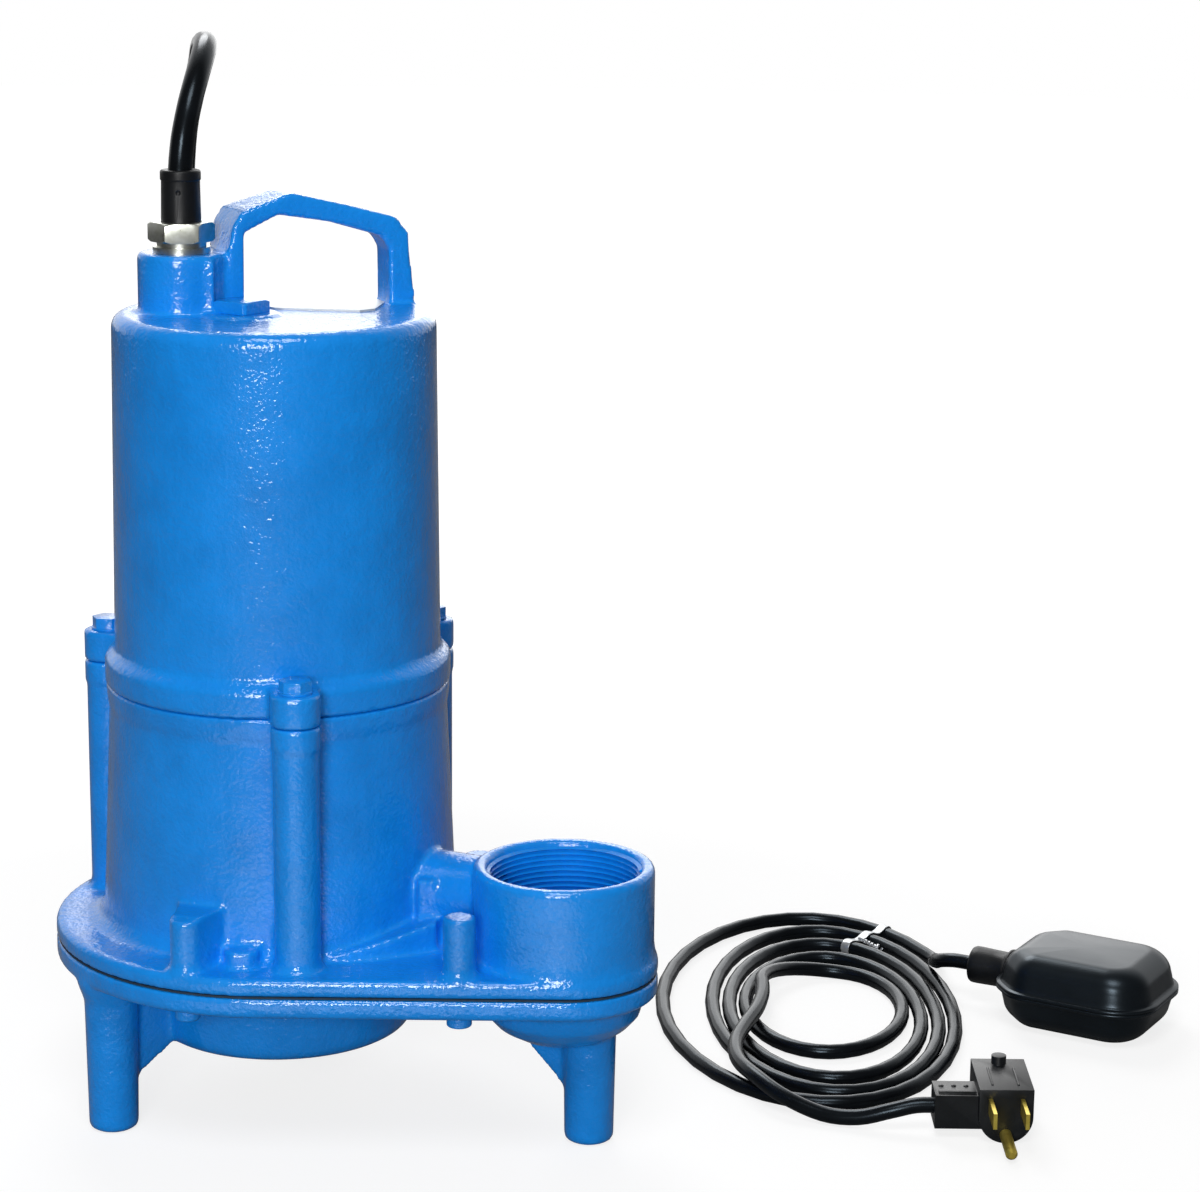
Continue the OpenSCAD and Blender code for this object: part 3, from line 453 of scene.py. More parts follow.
def finish_piece(piece: bpy.types.Object, body: Body, slot: str,
                 material: bpy.types.Material, *nodes: str) -> None:
    """Gives a finished piece its material and body, and hides the CAD nodes that it stands
    for.

    Args:
        piece: The finished object.
        body: The body that it rides on.
        slot: The record's material slot; not used.
        material: Its material.
        nodes: CAD nodes that it stands for.
    """
    piece.data.materials.clear()
    piece.data.materials.append(material)
    if nodes:
        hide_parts(*nodes)
    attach(piece, body.value)


# ---- Cords ----------------------------------------------------------------------------


def spline_point(route: Sequence[Point], i: int, t: float) -> Vector:
    """Gives a point on the smooth curve through a route.

    Args:
        route: The route's points.
        i: The point before the one that is wanted.
        t: How far on it lies towards the next point, from 0 to 1.

    Returns:
        The point, in the route's own units.
    """
    last = len(route) - 1
    a, b, c, d = (Vector(route[k]) for k in
                  (max(i - 1, 0), i, min(i + 1, last), min(i + 2, last)))
    return 0.5 * (2 * b + (c - a) * t + (2 * a - 5 * b + 4 * c - d) * t * t
                  + (3 * b - a - 3 * c + d) * t ** 3)


def smooth_route(route: Sequence[Point]) -> list[Vector]:
    """Fills a route in with a smooth curve.

    Args:
        route: Its points, in millimetres in the shaft's frame.

    Returns:
        The curve's points in metres in the row frame, without the route's last point.
    """
    return [placed(*spline_point(route, i, k / ROUTE_STEPS))
            for i in range(len(route) - 1) for k in range(ROUTE_STEPS)]


@dataclass
class PowerCord:
    """The power cord: up from the boot, over and down behind, and wound up on the floor."""

    coil_centre: tuple[float, float] = (-16.0, 205.0)
    outer_r: float = 73.0
    pitch: float = 11.6
    layer: float = 10.2
    layer_turns: float = 3.0
    climb_turns: float = 0.5
    points_per_turn: int = 36
    sunk: float = 4.0
    route: tuple[Point, ...] = (
        (-35.5, -2, 376), (-35, -2, 382), (-34, -1, 390), (-32, 3, 401), (-30, 11, 411),
        (-29, 24, 419), (-30, 38, 422), (-33, 52, 420), (-36, 66, 412), (-40, 76, 400),
        (-44, 82, 384), (-46, 84, 360), (-47, 85, 325), (-48, 86, 280), (-49, 88, 230),
        (-51, 91, 180), (-52, 95, 135), (-55, 101, 95), (-59, 107, 62), (-65, 115, 36),
        (-71, 126, 18), (-78, 141, 8), (-84, 158, 4.75), (-88, 176, 4.75),
        (-89, 195, 4.75), (-89, 205, 4.75))
    plug_route: tuple[Point, ...] = (
        (57, 205, 14.95), (57, 196, 14.95), (57, 186, 14.2), (57, 174, 13), (57, 164, 12.5),
        (57, 160, 12.5))

    def coil_point(self, turns: float) -> Vector:
        """Gives a point of the coil, which winds in, climbs and winds out again.

        Args:
            turns: Turns from the cord's end of the coil.

        Returns:
            The point in metres in the row frame.
        """
        inner_r = self.outer_r - self.pitch * self.layer_turns
        if turns < self.layer_turns:
            radius = self.outer_r - self.pitch * turns
        elif turns < self.layer_turns + self.climb_turns:
            radius = inner_r
        else:
            radius = inner_r + self.pitch * (turns - self.layer_turns - self.climb_turns)
        climbed = min(1, max(0, (turns - self.layer_turns) / self.climb_turns))
        height = POWER_CORD_D / 2 + self.layer * climbed
        angle = math.radians(180 - 360 * turns)
        return placed(self.coil_centre[0] + radius * math.cos(angle),
                      self.coil_centre[1] + radius * math.sin(angle), height)

    def points(self) -> list[Vector]:
        """Lists the whole cord's centreline.

        Returns:
            Its points in metres in the row frame.
        """
        turns = 2 * self.layer_turns + self.climb_turns
        count = round(turns * self.points_per_turn)
        coil = [self.coil_point(turns * k / count) for k in range(count)]
        start = placed(*self.route[0]) - Vector((0, 0, self.sunk * MM))
        return ([start] + smooth_route(self.route) + coil
                + smooth_route(self.plug_route) + [placed(*self.plug_route[-1])])

    def build(self, material: bpy.types.Material,
              with_pieces: Sequence[Union[str, bpy.types.Object]]) -> bpy.types.Object:
        """Args:
            material: The jacket's material.
            with_pieces: The plug's pieces at its far end; not used.

        Returns:
            The cord's curve.
        """
        points = self.points()
        cord = cord_curve("power_cord_run", points, POWER_CORD_D * MM)
        finish_piece(cord, Body.PUMP, "black_rubber", material,
                     "power_cord", "power_cord_coil", "power_plug_cord")
        return cord


@dataclass
class FloatCord:
    """The float switch's cord: from the float into a flat oval coil, then to its plug."""

    start_deg: float = 35.0
    turns: float = 106 / 24
    points_per_turn: int = 36
    # Where the oval's back, front and middle stand, and what each turn takes off.
    back: tuple[float, float] = (213.0, 18.5)
    front: tuple[float, float] = (-30.0, 12.0)
    middle_x: float = 230.8
    half_width: tuple[float, float] = (61.2, 7.35)
    # The innermost turns draw in faster.
    draw_in: float = 8.0
    draw_in_after: float = 2.0
    # The outermost turn swings wide on the left.
    swing: float = 14.6
    swing_at: float = 0.4
    # The last stretch climbs over the turns that it crosses.
    climb: float = 7.2
    climb_after: float = 4.1
    climb_turns: float = 0.28
    route: tuple[Point, ...] = (
        (294, 110, 17.5), (288.5, 113.2, 17.3), (284, 117.6, 15.8), (281.9, 123.7, 13.3),
        (281.8, 131, 10.8), (283.2, 139, 8.2), (284.5, 146.4, 5), (283.8, 153, 3.3))
    plug_route: tuple[Point, ...] = (
        (201.3, 84, 10.4), (198, 66, 10.4), (192, 46, 10.4), (187.5, 26, 10.4),
        (188, 6, 10.4), (194.5, -12, 10.4), (205, -26, 7.6), (220, -35, 4), (234, -40, 4.6),
        (247, -42, 8.4), (257, -42, 10.8), (267, -42, 11))

    def coil_point(self, turns: float) -> Point:
        """Gives a point of the coil after so many turns, in millimetres.

        Args:
            turns: Turns from the float's end.

        Returns:
            The point in the shaft's frame.
        """
        angle = math.radians(self.start_deg + 360 * turns)
        back = self.back[0] - self.back[1] * turns
        front = (self.front[0] + self.front[1] * turns
                 + self.draw_in * max(0.0, turns - self.draw_in_after) ** 2)
        near = math.exp(-((turns - self.swing_at) / self.swing_at) ** 2)
        swing = self.swing * near * (1 - math.cos(angle)) / 2
        rise = max(0.0, min(1.0, (turns - self.climb_after) / self.climb_turns))
        half_width = self.half_width[0] - self.half_width[1] * turns
        return (self.middle_x + half_width * math.cos(angle) - swing,
                (back + front) / 2 + (back - front) / 2 * math.sin(angle),
                FLOAT_CORD_D / 2 + self.climb * rise * rise * (3 - 2 * rise))

    def points(self) -> list[Vector]:
        """Lists the whole cord's centreline.

        Returns:
            Its points in metres in the row frame.
        """
        count = round(self.turns * self.points_per_turn)
        coil = [placed(*self.coil_point(self.turns * k / count)) for k in range(count)]
        lead = self.route + (self.coil_point(0),)
        tail = (self.coil_point(self.turns),) + self.plug_route
        return smooth_route(lead) + coil + smooth_route(tail) + [placed(*tail[-1])]

    def build(self, material: bpy.types.Material,
              with_pieces: Sequence[Union[str, bpy.types.Object]]) -> bpy.types.Object:
        """Args:
            material: The jacket's material.
            with_pieces: The plug's pieces at its far end; not used.

        Returns:
            The cord's curve.
        """
        points = self.points()
        cord = cord_curve("float_cord_run", points, FLOAT_CORD_D * MM)
        finish_piece(cord, Body.PUMP, "black_rubber", material,
                     "float_cord", "float_cord_coil", "piggyback_cord")
        return cord


def cord_curve(name: str, points: Sequence[Vector], diameter: float) -> bpy.types.Object:
    """Makes a round cord along points as one open spline.

    Args:
        name: The object's name.
        points: The centreline, in metres in the row frame.
        diameter: The cord's diameter in metres.

    Returns:
        The curve object.
    """
    curve = bpy.data.curves.new(name, "CURVE")
    curve.dimensions = "3D"
    curve.resolution_u = 1
    curve.bevel_depth = diameter / 2
    curve.bevel_resolution = 6
    curve.use_fill_caps = True
    spline = curve.splines.new("POLY")
    spline.points.add(len(points) - 1)
    for target, point in zip(spline.points, points):
        target.co = (*point, 1.0)
    spline.use_smooth = True
    cord = bpy.data.objects.new(name, curve)
    bpy.context.collection.objects.link(cord)
    return cord


# ---- Castings -------------------------------------------------------------------------


@dataclass
class Casting:
    """A cast or moulded part whose edges and inner corners are rounded by its mould."""

    node: str
    voxel_mm: float = 1.15
    passes: int = 4
    body: Body = Body.PUMP
    slot: str = "blue_enamel"
    smoothing: float = 0.5
    most_triangles: int = 188_000

    def build(self, material: bpy.types.Material) -> bpy.types.Object:
        """Rounds a copy of the CAD part and dresses it.

        Args:
            material: Its material.

        Returns:
            The finished piece.
        """
        piece = merged_copy(self.node, self.node + "_cast")
        apply_modifier(piece, "REMESH", mode="VOXEL", voxel_size=self.voxel_mm * MM,
                       use_smooth_shade=True)
        apply_modifier(piece, "SMOOTH", factor=self.smoothing, iterations=self.passes)
        count = sum(len(face.vertices) - 2 for face in piece.data.polygons)
        if count > self.most_triangles:
            apply_modifier(piece, "DECIMATE", ratio=self.most_triangles / count)
        make_active(piece)
        bpy.ops.object.shade_smooth()
        finish_piece(piece, self.body, self.slot, material, self.node)
        return piece


@dataclass
class BevelledPart:
    """A turned, moulded or stamped part whose sharp CAD edges get a small round."""

    node: str
    width_mm: float
    body: Body
    slot: str
    segments: int = 3
    flat_deg: float = 1.0
    edge_deg: float = 28.0

    def build(self, material: bpy.types.Material) -> bpy.types.Object:
        """Bevels a copy of the CAD part and dresses it.

        Args:
            material: Its material.

        Returns:
            The finished piece.
        """
        piece = merged_copy(self.node, self.node + "_finished")
        edit_all(piece)
        bpy.ops.mesh.dissolve_limited(angle_limit=math.radians(self.flat_deg))
        leave_edit()
        apply_modifier(piece, "BEVEL", width=self.width_mm * MM, segments=self.segments,
                       limit_method="ANGLE", angle_limit=math.radians(self.edge_deg),
                       use_clamp_overlap=True)
        smooth_shade(piece, 35)
        finish_piece(piece, self.body, self.slot, material, self.node)
        return piece


def wrapped(name: str, around: int, rows: int,
            spot: Callable[[int, int], Point]) -> bpy.types.Object:
    """Wraps a grid round a closed section whose first and last rows meet in poles.

    Args:
        name: The piece's name.
        around: Columns round the form.
        rows: Rows from pole to pole.
        spot: Gives the place in millimetres of a column and a row.

    Returns:
        The closed mesh, in its own frame.
    """
    deselect()
    bpy.ops.mesh.primitive_grid_add(x_subdivisions=around, y_subdivisions=rows - 1, size=1)
    piece = bpy.context.object
    piece.name = name
    for i, vertex in enumerate(piece.data.vertices):
        vertex.co = Vector(spot(i % (around + 1) % around, i // (around + 1))) * MM
    edit_all(piece)
    bpy.ops.mesh.remove_doubles(threshold=0.000002)
    bpy.ops.mesh.normals_make_consistent(inside=False)
    leave_edit()
    return piece


def hang_on_float(piece: bpy.types.Object) -> None:
    """Moves a piece, made along X from the float's flexing point, to its place.

    Args:
        piece: The piece, still at the origin.
    """
    piece.rotation_euler.z = math.radians(FLOAT_TURN_DEG)
    piece.location = placed(*FLOAT_PIVOT)
    settle(piece)
    smooth_shade(piece, 50)


@dataclass
class FloatShell:
    """One half of the float: a deep dome on a welded seam lip, its shoulders cut back."""

    node: str
    side: int
    length: float = 72.0
    width: float = 60.0
    depth: float = 17.5
    wall: float = 2.4
    shoulder: float = 13.0
    near_r: float = 14.0
    far_r: float = 19.0
    start: float = 20.5
    around: int = 144
    steps_per_corner: int = 32
    lean: tuple[float, float] = (0.07, 0.05)
    # How far in the dome's top starts, where its round starts, and how much it crowns.
    crown_inset: float = 12.0
    round_height: float = 8.0
    dome_inset: float = 2.3
    side_draft: float = 0.6
    inner_round: float = 7.0
    crown: float = 0.8
    # The seam's lip: insets from the seam, and heights over it.
    lip: tuple[tuple[float, float], ...] = (
        (3.6, 1.6), (3.4, 0.05), (0.9, 0.05), (-0.55, 0.05), (-0.8, 0.3), (-0.8, 1.2),
        (-0.5, 1.5), (0.7, 1.6), (1.2, 2.0), (1.5, 3.0))

    def arcs(self) -> list[tuple[float, float, float, float, float]]:
        """Lists the seam's corners, from the far right round.

        Returns:
            Each corner's centre x and y, radius, first angle and turn in degrees.
        """
        half, side = self.length / 2, self.width / 2
        run = self.near_r * math.tan(math.radians(22.5))
        near, far = self.near_r, self.far_r
        return [(half - far, side - far, far, 0, 90),
                (self.shoulder - half + run, side - near, near, 90, 45),
                (near - half, side - self.shoulder - run, near, 135, 45),
                (near - half, self.shoulder + run - side, near, 180, 45),
                (self.shoulder - half + run, near - side, near, 225, 45),
                (half - far, far - side, far, 270, 90)]

    def outline(self) -> list[tuple[Vector, Vector]]:
        """Spaces points evenly along the seam.

        Returns:
            Each point with its outward direction.
        """
        dense = []
        for x, y, radius, first, turn in self.arcs():
            for k in range(self.steps_per_corner + 1):
                a = math.radians(first + turn * k / self.steps_per_corner)
                out = Vector((math.cos(a), math.sin(a)))
                dense.append((Vector((x, y)) + radius * out, out))
        dense.append(dense[0])
        gaps = [(b[0] - a[0]).length for a, b in zip(dense, dense[1:])]
        step = sum(gaps) / self.around
        spots, walked, i = [], 0.0, 0
        for k in range(self.around):
            while walked + gaps[i] < k * step:
                walked += gaps[i]
                i += 1
            t = (k * step - walked) / gaps[i] if gaps[i] else 0.0
            a, b = dense[i], dense[i + 1]
            spots.append((a[0].lerp(b[0], t), a[1].lerp(b[1], t).normalized()))
        return spots

    def profile(self) -> list[tuple[float, float, float]]:
        """Lists the section from the inside's middle out, round the lip and over the dome.

        Returns:
            Inset from the seam, height over it, and scale about the middle.
        """
        inner, crown_at, base = self.depth - self.wall, self.crown_inset, self.round_height
        rows = [(crown_at, inner, s) for s in (0.0, 0.5, 1.0)]
        rows += [(crown_at - self.inner_round * math.sin(a),
                  base + (inner - base) * math.cos(a), 1.0)
                 for a in (math.radians(22.5 * k) for k in range(1, 5))]
        rows += [(inset, height, 1.0) for inset, height in self.lip]
        rows += [(self.dome_inset - self.side_draft * (1 - k / 4),
                  base / 2 + base / 2 * k / 4, 1.0) for k in range(5)]
        top = self.depth - self.crown
        rows += [(self.dome_inset + (crown_at - self.dome_inset) * (1 - math.cos(a)),
                  base + (top - base) * math.sin(a), 1.0)
                 for a in (math.radians(9 * k) for k in range(1, 11))]
        rows += [(crown_at, top + self.crown * (1 - s * s), s)
                 for s in (0.85, 0.7, 0.5, 0.3, 0.0)]
        return rows

    def build(self, material: bpy.types.Material) -> bpy.types.Object:
        """Wraps a grid round the float's section and dresses it.

        Args:
            material: Its material.

        Returns:
            The finished piece.
        """
        outline, profile = self.outline(), self.profile()

        def spot(column: int, row: int) -> Point:
            """Gives a point of the section.

            Args:
                column: Which of the seam's points it stands at.
                row: Which point of the section it is.

            Returns:
                The point in the float's own frame.
            """
            (seam, out), (inset, height, scale) = outline[column], profile[row]
            lift = (height / self.depth) ** 2
            at = (seam - inset * out) * scale
            return (self.start + self.length / 2 + at.x * (1 - self.lean[0] * lift),
                    at.y * (1 - self.lean[1] * lift), self.side * height)

        shell = wrapped(self.node + "_finished", self.around, len(profile), spot)
        hang_on_float(shell)
        finish_piece(shell, Body.FLOAT, "black_shell", material, self.node)
        return shell


@dataclass
class FloatBoot:
    """The rubber neck of the float: a stout sleeve whose rims are rounded."""

    around: int = 64
    section: tuple[tuple[float, float], ...] = (
        (0.0, 3.1), (3.5, 2.6), (6.9, 2.6), (7.7, 2.9), (8.1, 3.7), (8.2, 6.0), (8.0, 13.0),
        (7.9, 18.4), (8.3, 19.4), (9.4, 20.2), (9.6, 21.0), (9.0, 22.0), (7.5, 22.6),
        (7.5, 27.3), (0.0, 27.4))

    def build(self, material: bpy.types.Material) -> bpy.types.Object:
        """Turns the section round the float's long axis.

        Args:
            material: Its material.

        Returns:
            The finished piece.
        """
        def spot(column: int, row: int) -> Point:
            """Gives a point of the section, turned round the axis.

            Args:
                column: Steps round the axis.
                row: Which point of the section it is.

            Returns:
                The point in the float's own frame.
            """
            radius, along = self.section[row]
            a = 2 * math.pi * column / self.around
            return (along, radius * math.cos(a), radius * math.sin(a))

        boot = wrapped("float_boot_finished", self.around, len(self.section), spot)
        hang_on_float(boot)
        finish_piece(boot, Body.FLOAT, "black_rubber", material, "float_boot")
        return boot


@dataclass
class FlexStub:
    """The float's end of its cord: it turns with the float about the cord's flexing point."""

    radius: float = FLOAT_CORD_D / 2 - 0.02
    reach: float = 7.0

    def build(self, material: bpy.types.Material) -> bpy.types.Object:
        """Makes a round-ended stub that reaches into the boot.

        Args:
            material: Its material.

        Returns:
            The finished piece.
        """
        deselect()
        bpy.ops.mesh.primitive_uv_sphere_add(segments=32, ring_count=17,
                                             radius=self.radius * MM,
                                             rotation=(0, math.radians(90), 0))
        stub = bpy.context.object
        stub.name = "float_cord_stub"
        settle(stub)
        for vertex in stub.data.vertices:
            if vertex.co.x > 0.01 * MM:
                vertex.co.x += self.reach * MM
        hang_on_float(stub)
        finish_piece(stub, Body.FLOAT, "black_rubber", material)
        return stub


@dataclass
class TwistTie:
    """A flat wire tie round three turns of the float's cord, its ends twisted together."""

    cord: FloatCord
    angle_deg: float = 62.0
    turn_deg: float = 50.0
    cords: tuple[float, float, float] = (12.8, 0.0, -15.2)
    width: float = 4.4
    tape: float = 0.2
    sag: float = 1.7
    steps_per_gap: int = 8
    # The twisted ends: where they start and how they run, turn and spread.
    tail: float = 13.0
    tail_start: tuple[float, float] = (-7.4, 6.0)
    tail_run: tuple[float, float] = (-1.5, -2.2)
    tail_points: int = 48
    tail_turns: float = 3.5
    strand: float = 0.7
    strand_tape: tuple[float, float] = (0.25, 0.3)

    def band(self) -> list[Point]:
        """Lists the closed run of the band.

        Returns:
            Points round the outer cord, under all three, round the inner one and back over.
        """
        r = FLOAT_CORD_D / 2 + 0.3
        run = []
        for centre, start in ((self.cords[0], 90), (self.cords[2], -90)):
            for k in range(13):
                a = math.radians(start - 15 * k)
                run.append((centre + r * math.cos(a), 0.0,
                            max(0.2, FLOAT_CORD_D / 2 + r * math.sin(a))))
        for near, far in ((self.cords[2], self.cords[1]), (self.cords[1], self.cords[0])):
            steps = self.steps_per_gap
            for k in range(1, steps + 1 if far == self.cords[1] else steps):
                t = k / steps
                run.append((near + (far - near) * t, 0.0, FLOAT_CORD_D / 2 + r
                            - self.sag * math.sin(math.pi * t) ** 2))
        return run

    def twist(self, phase: float) -> list[Point]:
        """Lists the run of one of the two twisted ends.

        Args:
            phase: Its first angle round the other end, in radians.

        Returns:
            Its points; the strands start close, and part again over the last fifth.
        """
        run = []
        for k in range(self.tail_points):
            t = k / (self.tail_points - 1)
            a = phase + 2 * math.pi * self.tail_turns * t
            spread = self.strand * min(1.0, 6 * t + 0.3) * (1 + 2.2 * max(0.0, t - 0.8) / 0.2)
            run.append((self.tail_start[0] + self.tail_run[0] * t + spread * math.cos(a),
                        -self.tail * t,
                        self.tail_start[1] + self.tail_run[1] * t + spread * math.sin(a)))
        return run

    def strip(self, name: str, runs: Sequence[tuple[list[Point], bool, float, float]],
              ) -> bpy.types.Object:
        """Makes one mesh of flat or round strips.

        Args:
            name: The piece's name.
            runs: For each strip its points, whether it closes, half width and thickness.

        Returns:
            The joined mesh, still in the tie's own frame.
        """
        made = []
        for points, closed, half, thick in runs:
            curve = bpy.data.curves.new(name, "CURVE")
            curve.dimensions = "3D"
            curve.twist_mode = "Z_UP"
            curve.extrude = half * MM
            curve.bevel_depth = thick * MM
            curve.bevel_resolution = 2
            line = curve.splines.new("POLY")
            line.points.add(len(points) - 1)
            for target, (x, y, z) in zip(line.points, points):
                target.co = (x * MM, z * MM, -y * MM, 1.0)
            line.use_cyclic_u = closed
            line.use_smooth = True
            piece = bpy.data.objects.new(name, curve)
            bpy.context.collection.objects.link(piece)
            make_active(piece)
            bpy.ops.object.convert(target="MESH")
            piece = bpy.context.object
            piece.rotation_euler.x = math.radians(90)
            settle(piece)
            made.append(piece)
        return joined(made, name)

    def build(self, material: bpy.types.Material) -> bpy.types.Object:
        """Makes the band and its twisted ends where the tie sits.

        Args:
            material: Its material.

        Returns:
            The finished piece.
        """
        spot = self.cord.coil_point((self.angle_deg - self.cord.start_deg) / 360 + 1)
        tie = self.strip("cord_tie_finished", [
            (self.band(), True, self.width / 2 - self.tape, self.tape),
            (self.twist(0.0), False, *self.strand_tape),
            (self.twist(math.pi), False, *self.strand_tape)])
        tie.rotation_euler.z = math.radians(self.turn_deg)
        tie.location = placed(spot[0], spot[1], 0.15)
        settle(tie)
        smooth_shade(tie, 50)
        finish_piece(tie, Body.PUMP, "silver_tape", material, "cord_tie")
        return tie


@dataclass
class PipeThread:
    """The female pipe thread in the discharge mouth."""

    bore_r: float = 30.1
    depth: float = 1.15
    pitch: float = 2.21
    root_share: float = 0.42
    sunk: float = 0.25
    turns: int = 10
    steps_per_turn: int = 72
    top_z: float = DISCHARGE_TOP - 2.6

    def build(self, material: bpy.types.Material) -> bpy.types.Object:
        """Sweeps one crest round the bore and down it.

        Args:
            material: Its material.

        Returns:
            The finished piece.
        """
        deselect()
        bpy.ops.mesh.primitive_circle_add(vertices=3, radius=self.depth * MM,
                                          fill_type="NOTHING")
        thread = bpy.context.object
        thread.name = "discharge_thread"
        half = self.pitch * MM * self.root_share
        outer = (self.bore_r + self.sunk) * MM
        crest = (self.bore_r - self.depth) * MM
        for vertex, spot in zip(thread.data.vertices,
                                ((outer, 0, half), (crest, 0, 0), (outer, 0, -half))):
            vertex.co = spot
        apply_modifier(thread, "SCREW", axis="Z", angle=2 * math.pi * self.turns,
                       screw_offset=-self.pitch * self.turns * MM,
                       steps=self.steps_per_turn * self.turns,
                       render_steps=self.steps_per_turn * self.turns,
                       use_merge_vertices=False, use_normal_calculate=True)
        thread.location = placed(*DISCHARGE_SPOT, self.top_z)
        settle(thread)
        edit_all(thread)
        bpy.ops.mesh.remove_doubles(threshold=0.000001)
        bpy.ops.mesh.select_all(action="DESELECT")
        bpy.ops.mesh.select_non_manifold()
        bpy.ops.mesh.fill()
        bpy.ops.mesh.select_all(action="SELECT")
        bpy.ops.mesh.normals_make_consistent(inside=False)
        leave_edit()
        smooth_shade(thread, 30)
        finish_piece(thread, Body.PUMP, "blue_enamel", material)
        return thread


@dataclass
class PlugRelief:
    """The piggyback plug's moulded relief: two ribs on its back and three grip buttons."""

    spot: Point = (291.5, -54, 11.2)
    body_top: float = 11.2
    ribs_x: tuple[float, float] = (-5.2, 5.2)
    ribs_y: float = 14.5
    rib: Point = (0.9, 19.0, 1.3)
    rib_sunk: float = 0.2
    rib_round: float = 0.35
    grip_top: float = 7.0
    buttons_x: tuple[float, float, float] = (-24.6, -19.6, -14.6)
    buttons_y: float = 14.6
    button_r: float = 1.1
    button_sunk: float = 0.1
    button_flat: float = 0.55

    def build(self, material: bpy.types.Material) -> bpy.types.Object:
        """Makes the ribs and the buttons, sunk into the plug's faces.

        Args:
            material: Its material.

        Returns:
            The finished piece.
        """
        x, y, z = self.spot
        made = []
        for rib_x in self.ribs_x:
            deselect()
            bpy.ops.mesh.primitive_cube_add(size=1, location=placed(
                x + rib_x, y + self.ribs_y, z + self.body_top - self.rib_sunk))
            made.append(bpy.context.object)
            made[-1].scale = tuple(side * MM for side in self.rib)
            settle(made[-1])
            apply_modifier(made[-1], "BEVEL", width=self.rib_round * MM, segments=3)
        for button_x in self.buttons_x:
            deselect()
            bpy.ops.mesh.primitive_uv_sphere_add(
                segments=24, ring_count=12, radius=self.button_r * MM,
                location=placed(x + button_x, y + self.buttons_y,
                                z + self.grip_top - self.button_sunk))
            made.append(bpy.context.object)
            made[-1].scale.z = self.button_flat
            settle(made[-1])
        relief = joined(made, "piggyback_relief")
        smooth_shade(relief, 50)
        finish_piece(relief, Body.PUMP, "black_moulding", material)
        return relief


# ---- Studio ---------------------------------------------------------------------------


@dataclass(frozen=True)
class Lamp:
    """A round soft box: where it hangs, in metres, its width, power in watts and aim."""

    name: str
    spot: Point
    size: float
    power: float
    target: Point


